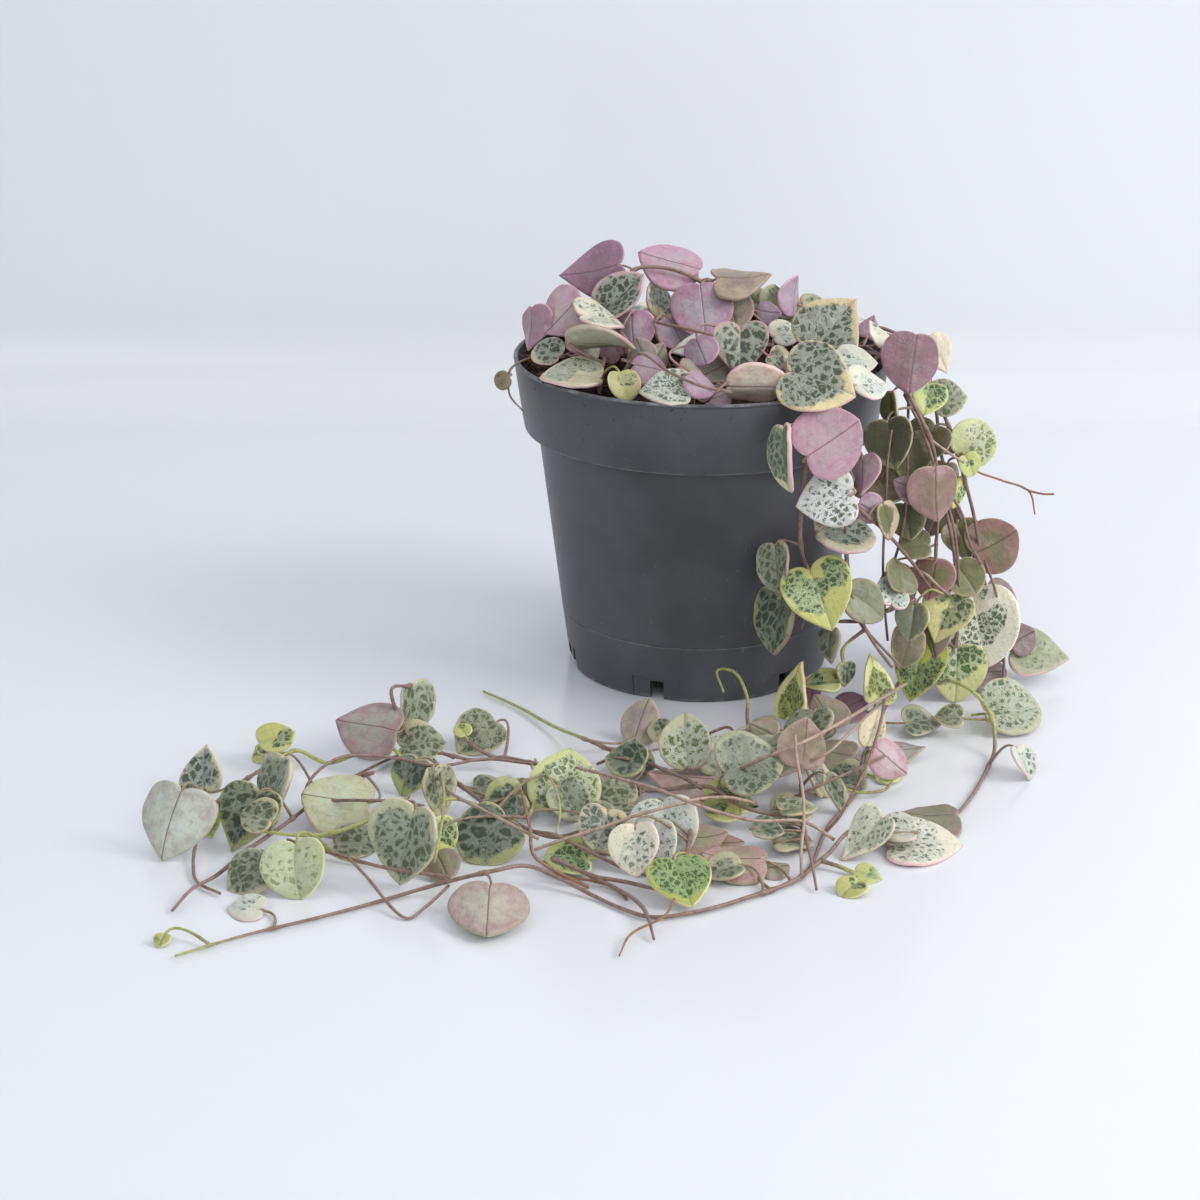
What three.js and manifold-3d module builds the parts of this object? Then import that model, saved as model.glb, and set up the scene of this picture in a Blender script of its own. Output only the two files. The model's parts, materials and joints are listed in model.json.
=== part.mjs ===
// String of hearts in a round nursery pot, in millimetres, +Z up.
// The origin is the middle of the pot's base on the surface, -Y is the front and +X the right.
import * as THREE from 'three';
import { mergeVertices } from 'three/addons/utils/BufferGeometryUtils.js';
import Module from 'manifold-3d';

const wasm = await Module();
wasm.setup();

// ---- driving dimensions ----
const rimRadius = 52.5;
const potHeight = 90.5;
const bandHeight = 20.3;
const bandFootRadius = 49.7;
const neckRadius = 45.9;
const footRadius = 37.1;
const wall = 1.3;
const floorHeight = 5;
const floorThickness = 1.5;
const footRingWidth = 2.6;
const padRadius = 11;
const notchCount = 6;
const notchWidth = 4;
const notchHeight = 5.4;
const recessWidth = 14;
const recessDepth = 0.5;
const recessHeight = 9;
const recessBlock = 8;
const firstNotchAngle = -110;
const potSides = 32;
const gap = 0.3;
const soilTop = 85.5;
const soilHeap = 2.2;
// stems that stand in the soil start at this height, in holes a little deeper
const standHeight = 80;
const holeFloor = 79.4;
const holeRadius = 2;
const stemRadius = 0.7;
const stemSides = 3;
const stemStep = 9;
const petioleRadius = 0.5;
const petioleKeel = 1.2;
const petioleBend = 0.5;
const petioleSink = 0.15;
const clearOfNotch = 0.12;
// a petiole sunk into its blade stands a little off the blade's middle
const besideTop = 0.2;
const besideAcross = 0.13;
const petioleSteps = 1;
const leastPetiole = 2.5;
const rootSpacing = 1.2;
const shortPetiole = 7;
const leafWidth = 1.04;
const leafThickness = 0.1;
const leastThickness = 1.3;
const leafFold = 0.2;
const leafCurl = 0.06;
const surfaceHeight = 0.15;
const leastOverlap = 1e-4;
// a low stem rises over one laid before it, from a little way off
const lowHeight = 8;
const riseOver = 2.1;
const riseSlope = 0.4;
const crossingWidth = 1.5;
const finePerStep = 4;
// how much rather a petiole grows from behind its leaf than from under it
const fromBehind = 1.2;
// leaves are set out as seen from a little above the front
const viewPitch = 20.45;

// ---- the strands ----
// stems are points along the stem; a leaf is its middle, the turn of its tip clockwise from up,
// its leans to the right and up, its length and its kind, with b where the underside shows
const strands = [
  {
    name: 'crown_left',
    stems: [
      [[-31, -14, 80], [-31, -14, 87], [-34, -12, 95], [-36, -8, 99], [-39, -6, 101], [-44, -2, 101]],
      [[-35, -12, 94], [-39, -14, 93], [-43, -16, 95]],
    ],
    leaves: [
      [-38, -6, 103, -135, -20, 10, 15, 'vb'],
      [-47, -2, 98, 175, -55, 0, 13, 'vb'],
      [-43, -16, 95, -60, -10, 30, 9, 'v'],
      [-32, -14, 97, 40, 20, 20, 10, 'ob'],
    ],
  },
  {
    name: 'crown_umbrella',
    stems: [
      [[-29, -27, 80], [-29, -27, 86], [-27, -24, 93], [-27, -22, 96]],
    ],
    leaves: [
      [-28, -20, 95, 80, -5, -72, 19, 'ob'],
      [-22, -36, 91, 170, 20, 20, 9, 'y'],
      [-36, -29, 92, -85, 10, 58, 17, 'w'],
    ],
  },
  {
    name: 'crown_inner',
    stems: [
      [[-20, -18, 80], [-20, -18, 87], [-21, -16, 95], [-21, -12, 99], [-25, -9, 102]],
      [[-21, -16, 96], [-16, -18, 95], [-13, -18, 96]],
    ],
    leaves: [
      [-28, -9, 102, 62, 35, 55, 15, 'w'],
      [-19, -9, 99, 180, -20, 0, 12, 'vb'],
      [-17, -22, 97, -20, -30, 0, 8, 'ob'],
      [-13, -22, 96, 30, 20, 0, 8, 'ob'],
      [-15, -24, 92, 100, 20, 25, 10, 'vb'],
    ],
  },
  {
    name: 'crown_arch',
    stems: [
      [[-15, -3, 80], [-15, -3, 87], [-18, -2, 98], [-21, 0, 106], [-21, 2, 112], [-17, 3, 114],
        [-12, 4, 114], [-6, 4, 113], [0, 3, 110], [8, 3, 105], [16, 3, 100], [20, 2, 96]],
      [[0, 3, 110], [2, 2, 111], [3, 3, 110]],
    ],
    leaves: [
      [-30, 4, 113, -98, -15, 10, 18, 'vb'],
      [-9, 9, 114, -70, 10, 40, 18, 'vb'],
      [-22, -3, 108, 48, -25, 15, 16, 'v'],
      [-12, 4, 106, 35, 60, 10, 14, 'v'],
      [0, -4, 103, 176, 5, 5, 17, 'vb'],
      [11, 5, 110, 80, 10, 50, 16, 'ob'],
      [19, 4, 101, 100, 0, 20, 7, 'vb'],
      [9, 0, 101, 160, -20, 20, 12, 'ob'],
    ],
  },
  {
    name: 'crown_back',
    stems: [
      [[9, 12, 80], [9, 12, 87], [17, 13, 95], [17, 14, 100], [21, 14, 102], [26, 13, 101],
        [31, 14, 100]],
    ],
    leaves: [
      [26, 11, 104, 5, 60, 0, 12, 'vb'],
      [14, 16, 102, -60, 0, 20, 9, 'o'],
      [21, 17, 102, 10, 10, 20, 9, 'o'],
      [33, 15, 100, 80, 20, 30, 9, 'o'],
    ],
  },
  {
    name: 'crown_heart',
    stems: [
      [[10, -8, 80], [10, -8, 87], [11, -10, 96], [10, -11, 98], [6, -12, 99], [2, -14, 99]],
      [[11, -10, 94], [16, -10, 96], [21, -12, 95]],
    ],
    leaves: [
      [10, -19, 97, 178, 0, 15, 15, 'd'],
      [-3, -20, 97, -82, -10, 50, 12, 'w'],
      [23, -8, 98, 60, 10, 30, 9, 'w'],
      [21, -24, 94, 120, 20, 30, 9, 'v'],
      [2, -18, 90, -120, 0, 20, 10, 'ob'],
    ],
  },
  {
    name: 'crown_front',
    stems: [
      [[-3, -32, 80], [-3, -32, 87], [-2, -34, 91], [2, -36, 93], [5, -38, 93]],
      [[-1, -34, 90], [-4, -37, 91], [-8, -39, 92]],
    ],
    leaves: [
      [-11, -43, 92, -80, 0, 45, 14, 'w'],
      [-2, -43, 92, 130, 20, 20, 9, 'vb'],
      [14, -42, 93, 92, 5, -48, 18, 'wb'],
    ],
  },
  {
    name: 'crown_low',
    stems: [
      [[17, -24, 80], [17, -24, 87], [19, -32, 94], [22, -36, 97], [31, -32, 97], [36, -32, 96]],
      [[20, -34, 95], [22, -40, 96]],
    ],
    leaves: [
      [29, -46, 94, 112, 0, 10, 20, 'v'],
      [41, -30, 96, 75, 10, 40, 11, 'w'],
      [43, -38, 92, 60, 30, 40, 12, 'w'],
      [26, -28, 93, 200, -10, 20, 10, 'ob'],
    ],
  },
  {
    name: 'crown_high',
    stems: [
      [[25, -10, 80], [25, -10, 88], [33, -14, 95], [32, -16, 97], [38, -12, 95], [42, -9, 95],
        [47, -6, 94]],
    ],
    leaves: [
      [35, -19, 103, 42, 0, 12, 20, 'v'],
      [47, -13, 96, 5, 50, 10, 9, 'w'],
      [50, -13, 95, 15, 50, 10, 9, 'w'],
      [47, 0, 98, 20, 10, 10, 7, 'vb'],
    ],
  },
  {
    name: 'crown_right',
    stems: [
      [[36, -18, 80], [36, -18, 88], [43, -20, 92], [45, -20, 93], [50, -20, 98], [54, -20, 100],
        [61, -16, 97]],
    ],
    leaves: [
      [56, -21, 93, 188, 20, 0, 17, 'vb'],
      [64, -14, 94, 150, 10, 20, 11, 'w'],
      [61, -22, 84, 200, 20, 30, 11, 'y'],
    ],
  },
  {
    name: 'dry_sprig',
    stems: [
      [[-38, -10, 80], [-38, -10, 88], [-43, -12, 92], [-49, -14, 93], [-53, -16, 90], [-53, -18, 89],
        [-53, -20, 87], [-53, -22, 85], [-51, -25, 84], [-49, -29, 82]],
    ],
    leaves: [
      [-55, -20, 88, -120, -20, 0, 5, 'p'],
    ],
  },
  {
    name: 'front_main',
    stems: [
      [[20, -33, 80], [20, -33, 89], [23, -42, 92], [25, -50, 92], [26, -52, 87], [26, -52, 75],
        [25, -52, 61], [26, -52, 46], [29, -51, 40], [27, -50, 32], [26, -50, 27]],
    ],
    leaves: [
      [20, -53, 76, 172, -68, 0, 18, 'v'],
      [32, -55, 82, 55, 10, 0, 18, 'wb'],
      [31, -57, 66, -100, -10, 10, 16, 'w'],
      [19, -51, 45, 170, -60, 0, 14, 'o'],
      [30, -57, 39, 160, 0, 12, 19, 'y'],
      [20, -51, 30, 182, -60, 10, 19, 'd'],
    ],
  },
  {
    name: 'front_side',
    stems: [
      [[29, -27, 80], [29, -27, 89], [32, -36, 92], [34, -46, 91], [36, -48, 83], [37, -49, 65],
        [38, -50, 46], [41, -50, 31], [47, -50, 23], [54, -48, 15]],
      [[38, -49, 65], [42, -46, 59], [47, -43, 54], [53, -40, 47], [59, -38, 39], [63, -37, 33]],
      [[44, -50, 27], [39, -52, 25], [37, -52, 20], [39, -52, 13]],
    ],
    leaves: [
      [42, -44, 69, 175, -50, 0, 11, 'vb'],
      [37, -53, 55, 88, 15, 52, 17, 'v'],
      [34, -52, 23, 176, -60, 0, 10, 'o'],
      [43, -52, 35, 120, 20, 10, 14, 'o'],
      [38, -53, 15, 170, 40, 0, 7, 'd'],
      [32, -54, 13, -80, 0, 55, 10, 'y'],
      [49, -42, 55, 150, 40, 0, 11, 'd'],
      [45, -44, 59, 120, 10, -20, 9, 'vb'],
    ],
  },
  {
    name: 'curtain_inner',
    stems: [
      [[38, -8, 80], [38, -8, 90], [43, -12, 94], [49, -18, 94], [52, -23, 91], [56, -28, 85],
        [61, -30, 75], [63, -31, 69], [64, -32, 41], [64, -32, 36]],
    ],
    leaves: [
      [56, -30, 51, 170, -20, 10, 11, 'o'],
      [51, -28, 82, 178, -60, 0, 11, 'd'],
      [50, -30, 73, 170, -30, 0, 14, 'd'],
      [56, -33, 71, 190, 30, 0, 15, 'd'],
      [55, -34, 62, -70, 0, 30, 9, 'vb'],
      [62, -34, 60, 175, 20, 0, 15, 'vb'],
      [58, -34, 45, -90, 0, 30, 9, 'o'],
      [63, -35, 36, 190, -10, 0, 12, 'ob'],
      [55, -34, 34, 150, 20, 10, 11, 'ob'],
    ],
  },
  {
    name: 'curtain_mid',
    stems: [
      [[43, -2, 80], [43, -2, 90], [49, -4, 94], [55, -8, 92], [58, -14, 87], [60, -22, 78],
        [62, -25, 66], [68, -26, 49], [71, -27, 30], [71, -30, 16], [66, -36, 6.5], [62, -40, 5.1]],
    ],
    leaves: [
      [49, -27, 62, -130, -10, 35, 19, 'ob'],
      [73, -29, 34, 150, 0, 20, 11, 'o'],
      [67, -33, 24, 200, 0, 10, 15, 'v'],
      [71, -34, 4, 185, 10, 10, 17, 'v'],
      [60, -38, 11, -165, -10, 20, 19, 'y'],
      [56, -40, 18, 200, 25, 5, 13, 'o'],
      [64, -34, 18, 160, -30, 5, 12, 'ob'],
    ],
  },
  {
    name: 'curtain_cross',
    stems: [
      [[52, -44, 31], [45, -46, 29], [40, -47, 28]],
      [[52, -44, 31], [58, -40, 32]],
    ],
    leaves: [
      [57, -36, 24, -170, -20, 20, 11, 'o'],
      [51, -44, 36, 20, 30, 40, 14, 'w'],
      [53, -40, 39, 10, 40, 20, 11, 'o'],
    ],
  },
  {
    name: 'curtain_outer',
    stems: [
      [[44, 6, 80], [44, 6, 90], [50, 4, 95], [56, -1, 94], [59, -6, 90], [62, -12, 86], [64, -15, 82],
        [68, -18, 74], [70, -20, 68], [76, -20, 48], [80, -21, 28], [85, -22, 13], [86, -24, 4.1],
        [86, -26, -3.7]],
      [[70, -20, 68], [74, -18, 63], [83, -14, 58], [91, -12, 54], [94, -12, 53], [95, -12, 51],
        [93, -12, 49], [94, -12, 47]],
    ],
    leaves: [
      [68, -16, 82, 80, 10, 20, 11, 'o'],
      [61, -22, 71, -150, -10, 10, 13, 'd'],
      [67, -23, 70, 110, 0, -60, 6, 'vb'],
      [75, -17, 70, 40, 10, 0, 13, 'y'],
      [73, -21, 64, 150, 30, 0, 7, 'y'],
      [70, -23, 57, 190, 60, 0, 9, 'y'],
      [82, -19, 41, 60, 10, 10, 15, 'ob'],
      [78, -26, 18, 168, -15, 10, 23, 'w'],
      [96, -20, 8, 92, 10, 35, 18, 'w'],
      [91, -18, 12, 60, 10, 20, 9, 'vb'],
      [76, -22, -6, -110, -10, 20, 12, 'o'],
      [81, -24, -1, 80, 10, 25, 11, 'vb'],
    ],
  },
  {
    name: 'curtain_back',
    stems: [
      [[43, 14, 80], [43, 14, 90], [49, 11, 95], [61, 2, 91], [65, -6, 79], [67, -9, 65],
        [70, -10, 54], [78, -11, 33], [81, -12, 21], [83, -13, 9.5], [82, -14, 5.3]],
    ],
    leaves: [
      [74, -12, 39, 160, 10, 0, 12, 'o'],
      [76, -14, 19, 190, -30, 0, 13, 'o'],
      [86, -12, 21, 126, 20, 12, 12, 'vb'],
    ],
  },
  {
    name: 'trail_loop',
    stems: [
      [[65, -42, 7.8], [67, -61, 16], [72, -64, 14], [76, -68, 9], [77, -71, 5], [76, -75, 2],
        [72, -87, 1], [66, -103, 1], [61, -113, 1], [56, -122, 1]],
      [[76, -68, 9], [77, -50, -1.1], [78, -51, -3.7], [75, -52, -5.6], [73, -52, -5.3]],
    ],
    leaves: [
      [84, -54, 5, 80, 10, 35, 17, 'v'],
      [82, -87, 4, 170, 50, 30, 10, 'w'],
      [66, -59, 5, -80, 0, 40, 8, 'o'],
      [54, -118, 3, -95, 0, 62, 15, 'ob'],
    ],
  },
  {
    name: 'trail_right',
    stems: [
      [[66, -27, 12], [60, -31, 8], [57, -31, 4], [53, -42, 1], [49, -51, 1], [43, -73, 1],
        [38, -97, 1], [28, -121, 1], [20, -147, 1], [8, -157, 1], [-5, -165, 1], [-17, -168, 1],
        [-30, -157, 1], [-44, -150, 5], [-48, -152, 6], [-59, -157, 6], [-68, -156, 3], [-75, -157, 1],
        [-93, -168, 1], [-111, -178, 1], [-124, -187, 1]],
      [[20, -147, 1], [28, -137, 3], [33, -132, 6], [40, -130, 5], [43, -131, 3]],
      [[25, -141, 2], [32, -145, 1], [36, -146, 1], [33, -151, 1]],
    ],
    leaves: [
      [51, -76, 2, 90, 0, 62, 13, 'vb'],
      [51, -130, 0, 78, 0, 58, 20, 'w'],
      [36, -133, 4, -140, -10, 30, 16, 'o'],
      [44, -71, 7, 20, 10, 30, 13, 'w'],
      [59, -58, 3, 80, 10, 40, 11, 'o'],
      [31, -154, 1, -150, 0, 50, 7, 'y'],
      [36, -149, 1, 110, 0, 50, 7, 'y'],
      [4, -142, 3, -80, 0, 62, 16, 'ob'],
      [14, -145, 2, 75, 0, 60, 7, 'ob'],
      [-54, -171, 4, 182, 0, 48, 18, 'vb'],
      [-111, -164, 1, -80, 0, 50, 9, 'w'],
      [-128, -180, 1, -170, 0, 45, 4, 'y'],
      [33, -83, 5, -70, 0, 45, 12, 'ob'],
      [36, -89, 1, -85, 0, 50, 10, 'o'],
      [1, -145, 1, -120, 10, 45, 10, 'o'],
    ],
  },
  {
    name: 'trail_front',
    stems: [
      [[43, -46, 3], [36, -55, 2], [29, -65, 1], [24, -83, 3], [23, -104, 4], [22, -118, 2],
        [22, -133, 1], [23, -154, 1]],
    ],
    leaves: [
      [46, -54, 14, 5, 35, 10, 14, 'v'],
      [24, -62, 14, -5, -55, 10, 16, 'v'],
      [29, -57, 12, 10, 40, 0, 9, 'vb'],
      [40, -53, 6, 60, 0, 30, 9, 'vb'],
      [27, -98, 6, 0, 50, 20, 13, 'v'],
      [26, -76, 5, 175, -40, 20, 13, 'o'],
      [16, -57, 2, -50, 0, 50, 7, 'o'],
      [20, -126, 0, 80, 0, 65, 9, 'o'],
      [20, -111, 1, 95, 0, 50, 11, 'o'],
      [19, -94, 6, -160, -40, 15, 12, 'o'],
      [32, -63, 7, -30, -30, 20, 12, 'ob'],
    ],
  },
  {
    name: 'trail_middle',
    stems: [
      [[37, -57, 1], [30, -63, 1], [21, -79, 4], [14, -97, 6], [8, -110, 6], [-3, -115, 7],
        [-19, -124, 7], [-31, -131, 6], [-38, -134, 5], [-49, -128, 6], [-61, -110, 6], [-69, -92, 4],
        [-76, -73, 1], [-82, -76, 1], [-98, -97, 1]],
      [[14, -97, 6], [12, -82, 6], [11, -73, 7], [11, -66, 9], [11, -58, 12], [8, -51, 15],
        [6, -46, 16], [4, -48, 15], [4, -54, 14], [5, -58, 12]],
      [[-6, -116, 7], [-6, -129, 7], [-7, -142, 7], [-8, -148, 6]],
    ],
    leaves: [
      [-9, -158, 3, 170, 0, 45, 15, 'y'],
      [11, -92, 6, -120, -15, 35, 18, 'v'],
      [5, -105, 1, 100, 0, 55, 14, 'y'],
      [-7, -100, 3, -85, 0, 62, 18, 'wb'],
      [-5, -124, 1, 110, 0, 50, 8, 'o'],
      [-12, -132, 6, 170, -10, 20, 16, 'w'],
      [-17, -141, 6, 195, -20, 25, 15, 'w'],
      [-28, -127, 3, -60, 0, 40, 13, 'v'],
      [-36, -141, 3, -80, 0, 50, 12, 'y'],
      [-48, -98, 1, 0, 0, 50, 8, 'o'],
      [-56, -96, 0, 90, 0, 60, 10, 'o'],
      [-56, -133, 4, -140, 0, 30, 16, 'd'],
      [-69, -113, 7, 170, 55, 10, 14, 'o'],
      [-77, -97, 4, 200, -20, 20, 11, 'd'],
      [14, -81, 6, 60, 15, 35, 13, 'o'],
      [2, -132, 2, 95, 0, 58, 10, 'ob'],
      [-36, -113, 5, 150, 20, 20, 11, 'o'],
    ],
  },
  {
    name: 'trail_inner',
    stems: [
      [[24, -117, 1], [14, -119, 2], [5, -118, 3], [-5, -109, 3], [-17, -103, 4], [-33, -96, 5],
        [-44, -91, 5], [-51, -84, 4], [-63, -83, 3], [-71, -83, 2], [-79, -86, 1]],
      [[-48, -89, 5], [-45, -98, 5], [-45, -112, 2], [-46, -130, 1]],
      [[-56, -84, 4], [-60, -83, 6], [-63, -80, 7]],
      [[-66, -84, 3], [-72, -79, 2], [-76, -77, 4], [-78, -80, 8], [-81, -78, 13], [-83, -77, 17],
        [-84, -76, 19], [-82, -76, 21], [-80, -72, 20], [-78, -71, 19]],
    ],
    leaves: [
      [-26, -109, 2, -95, 0, 45, 15, 'o'],
      [-32, -101, 3, -20, -20, 30, 8, 'd'],
      [-18, -84, 3, 20, 0, 45, 11, 'd'],
      [-37, -107, 8, 10, 10, 15, 18, 'y'],
      [-55, -107, 0, -95, 0, 55, 9, 'y'],
      [-65, -70, 6, -20, 0, 40, 5, 'y'],
      [-77, -70, 13, 160, 50, 5, 13, 'o'],
      [-89, -82, 12, -70, -10, 30, 17, 'vb'],
      [-75, -79, 6, 80, 0, 30, 13, 'o'],
      [-61, -73, 5, -140, 0, 35, 14, 'o'],
      [-28, -120, 3, 120, 0, 40, 10, 'o'],
      [-22, -92, 4, -60, -20, 30, 12, 'd'],
    ],
  },
  {
    name: 'trail_short',
    stems: [
      [[-3, -114, 7], [-6, -108, 7], [-10, -101, 7], [-14, -93, 6], [-24, -85, 6], [-32, -74, 5],
        [-41, -58, 2], [-51, -42, 1], [-61, -31, 1]],
    ],
    leaves: [
      [-6, -86, 7, -8, -15, 15, 17, 'w'],
      [-12, -70, 6, -20, -20, 20, 7, 'o'],
      [-17, -65, 6, 20, -10, 20, 13, 'wb'],
    ],
  },
  {
    name: 'trail_tip',
    stems: [
      [[-40, -146, 1], [-26, -153, 1], [-19, -164, 1], [-17, -173, 1], [-16, -179, 1]],
      [[-29, -150, 1], [-21, -154, 1], [-15, -159, 1]],
    ],
    leaves: [
    ],
  },
  {
    name: 'tendril_front',
    stems: [
      [[-11, -164, 1], [-13, -172, 1], [-18, -176, 1], [-21, -178, 1], [-24, -187, 1]],
    ],
    leaves: [
    ],
  },
  {
    name: 'trail_left',
    stems: [
      [[-80, -91, 7.7], [-82, -85, 3], [-87, -82, 3], [-92, -81, 4], [-99, -83, 2], [-106, -81, 5],
        [-112, -90, 6], [-116, -103, 8], [-121, -113, 8], [-126, -125, 6], [-127, -131, 3],
        [-126, -144, 1], [-122, -154, 1], [-118, -156, 1]],
    ],
    leaves: [
      [-91, -71, 1, -80, 0, 45, 9, 'y'],
      [-113, -80, 8, 60, 0, 40, 10, 'y'],
      [-117, -76, 1, -100, 0, 40, 7, 'y'],
      [-130, -96, 6, -10, -25, 10, 13, 'v'],
      [-132, -134, 9, 195, -20, 5, 19, 'vb'],
      [-126, -122, 3, 160, 10, 30, 8, 'y'],
    ],
  },
  {
    name: 'trail_brown',
    stems: [
      [[-86, -102, 8], [-92, -99, 5], [-100, -108, 3], [-106, -124, 4], [-115, -142, 4],
        [-122, -151, 1], [-128, -165, 1]],
    ],
    leaves: [
      [-94, -117, 7, -85, 0, 40, 18, 'wb'],
      [-109, -115, 9, -165, -60, 10, 18, 'o'],
      [-115, -127, 6, -160, -10, 20, 17, 'd'],
      [-112, -151, 3, -130, -10, 30, 12, 'o'],
    ],
  },
  {
    name: 'trail_olive',
    stems: [
      [[-76, -138, 15], [-80, -134, 12], [-88, -129, 6], [-100, -131, 3], [-111, -133, 1]],
      [[-100, -131, 3], [-96, -135, 2], [-89, -138, 1], [-82, -141, 1]],
    ],
    leaves: [
      [-74, -148, 10, 195, -35, 5, 20, 'o'],
      [-88, -129, 1, 85, 0, 50, 12, 'o'],
      [-100, -153, 5, 172, -10, 25, 15, 'y'],
      [-112, -125, 2, -60, 0, 40, 10, 'o'],
    ],
  },
  {
    name: 'crown_rear_left',
    stems: [
      [[-26, 16, 80], [-26, 16, 86], [-28, 19, 91], [-34, 22, 93], [-41, 24, 92]],
      [[-28, 19, 91], [-20, 24, 94], [-12, 27, 93]],
    ],
    leaves: [
      [-35, 29, 95, -35, 0, 60, 14, 'v'],
      [-44, 19, 94, -90, 0, 58, 13, 'w'],
      [-41, 33, 93, -40, -20, 72, 12, 'd'],
      [-21, 31, 95, 10, 0, 64, 14, 'v'],
      [-10, 34, 94, 30, 0, 70, 13, 'w'],
      [-27, 10, 95, -60, -20, 45, 11, 'o'],
    ],
  },
  {
    name: 'crown_rear',
    stems: [
      [[-2, 24, 80], [-2, 24, 86], [-1, 28, 91], [2, 34, 92], [8, 38, 92]],
      [[-2, 26, 89], [-8, 20, 93], [-13, 18, 94]],
    ],
    leaves: [
      [0, 43, 94, 0, 0, 70, 14, 'v'],
      [13, 43, 93, 40, 0, 70, 13, 'w'],
      [10, 31, 95, 70, 0, 62, 14, 'd'],
      [-14, 14, 96, -70, 0, 50, 12, 'v'],
      [-10, 45, 92, -20, 0, 74, 12, 'o'],
      [2, 17, 95, 120, 0, 60, 11, 'w'],
    ],
  },
  {
    name: 'crown_rear_right',
    stems: [
      [[24, 26, 80], [24, 26, 86], [27, 28, 91], [33, 28, 93], [40, 24, 93]],
      [[24, 27, 89], [20, 34, 92], [18, 40, 92]],
    ],
    leaves: [
      [34, 36, 94, 30, 0, 68, 14, 'v'],
      [44, 30, 92, 80, 10, 68, 12, 'w'],
      [26, 43, 93, 10, 0, 72, 13, 'd'],
      [38, 16, 95, 100, 10, 52, 12, 'v'],
      [15, 47, 91, -30, 0, 74, 11, 'w'],
      [21, 17, 94, -60, 0, 58, 11, 'o'],
      [30, 23, 98, 60, 0, 60, 12, 'y'],
    ],
  },
];

// half of a leaf's edge from the notch to the tip: across and along, for a leaf 1 long
const leafEdge = [[0, -0.38], [0.24, -0.5], [0.49, -0.3], [0.5, 0.02], [0.31, 0.33], [0, 0.5]];
const spineAlong = 0.05;

// the turns and shifts that a leaf tries until it is clear of the other strands:
// toward the front, up, and leans to the right and up
const tries = [
  [0, 0, 0, 0], [1.5, 0, 0, 0], [-1.5, 0, 0, 0], [3, 0, 0, 0], [-3, 0, 0, 0], [0, 2, 0, 0],
  [0, 0, 15, 0], [0, 0, -15, 0], [0, 0, 0, 15], [0, 0, 0, -15], [2, 1, 15, 10], [2, 1, -15, 10],
  [4.5, 0, 0, 0], [-4.5, 0, 0, 0], [3, 3, 0, 15], [-3, 3, 0, 15], [0, 4, 20, 0], [0, 4, -20, 0],
  [6, 0, 0, 0], [-6, 0, 0, 0], [5, 4, 0, 20], [6, 5, 15, 0], [6, 5, -15, 0], [8, 2, 0, 10],
];

const right = new THREE.Vector3(1, 0, 0);
const still = new THREE.Vector3();
const pitch = THREE.MathUtils.degToRad(viewPitch);
const upward = new THREE.Vector3(0, Math.sin(pitch), Math.cos(pitch));
const toward = new THREE.Vector3(0, -Math.cos(pitch), Math.sin(pitch));

// ---- solids ----
function solid(geometry) {
  const bare = new THREE.BufferGeometry();
  bare.setAttribute('position', geometry.getAttribute('position'));
  if (geometry.index) bare.setIndex(geometry.index);
  const merged = mergeVertices(bare, 1e-4);
  const points = merged.getAttribute('position').array;
  let volume = 0;
  const corners = merged.index.array;
  const a = new THREE.Vector3();
  const b = new THREE.Vector3();
  const c = new THREE.Vector3();
  for (let i = 0; i < corners.length; i += 3) {
    a.fromArray(points, 3 * corners[i]);
    b.fromArray(points, 3 * corners[i + 1]);
    c.fromArray(points, 3 * corners[i + 2]);
    volume += a.dot(b.cross(c));
  }
  const triVerts = new Uint32Array(corners);
  if (volume < 0) triVerts.reverse();
  return new wasm.Manifold(new wasm.Mesh({ numProp: 3, vertProperties: new Float32Array(points), triVerts }));
}

function geometryOf(body) {
  const mesh = body.getMesh();
  const geometry = new THREE.BufferGeometry();
  geometry.setAttribute('position', new THREE.BufferAttribute(mesh.vertProperties, 3));
  geometry.setIndex(new THREE.BufferAttribute(mesh.triVerts, 1));
  geometry.computeVertexNormals();
  return geometry;
}

function vectors(points) {
  return points.map((p) => new THREE.Vector3(...p));
}

function tube(points, radius, sides, steps) {
  const corners = [];
  for (let i = 0; i < sides; i += 1) {
    const angle = (2 * Math.PI * (i + 0.5)) / sides;
    corners.push(new THREE.Vector2(radius * Math.cos(angle), radius * Math.sin(angle)));
  }
  const path = new THREE.CatmullRomCurve3(points, false, 'centripetal');
  const shape = new THREE.Shape(corners);
  return solid(new THREE.ExtrudeGeometry(shape, { steps, bevelEnabled: false, extrudePath: path }));
}

// ---- pot and soil ----
const bandFoot = potHeight - bandHeight;

function potRadiusAt(z) {
  if (z >= bandFoot) {
    return bandFootRadius + ((rimRadius - bandFootRadius) * (z - bandFoot)) / bandHeight;
  }
  return footRadius + ((neckRadius - footRadius) * z) / bandFoot;
}

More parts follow.
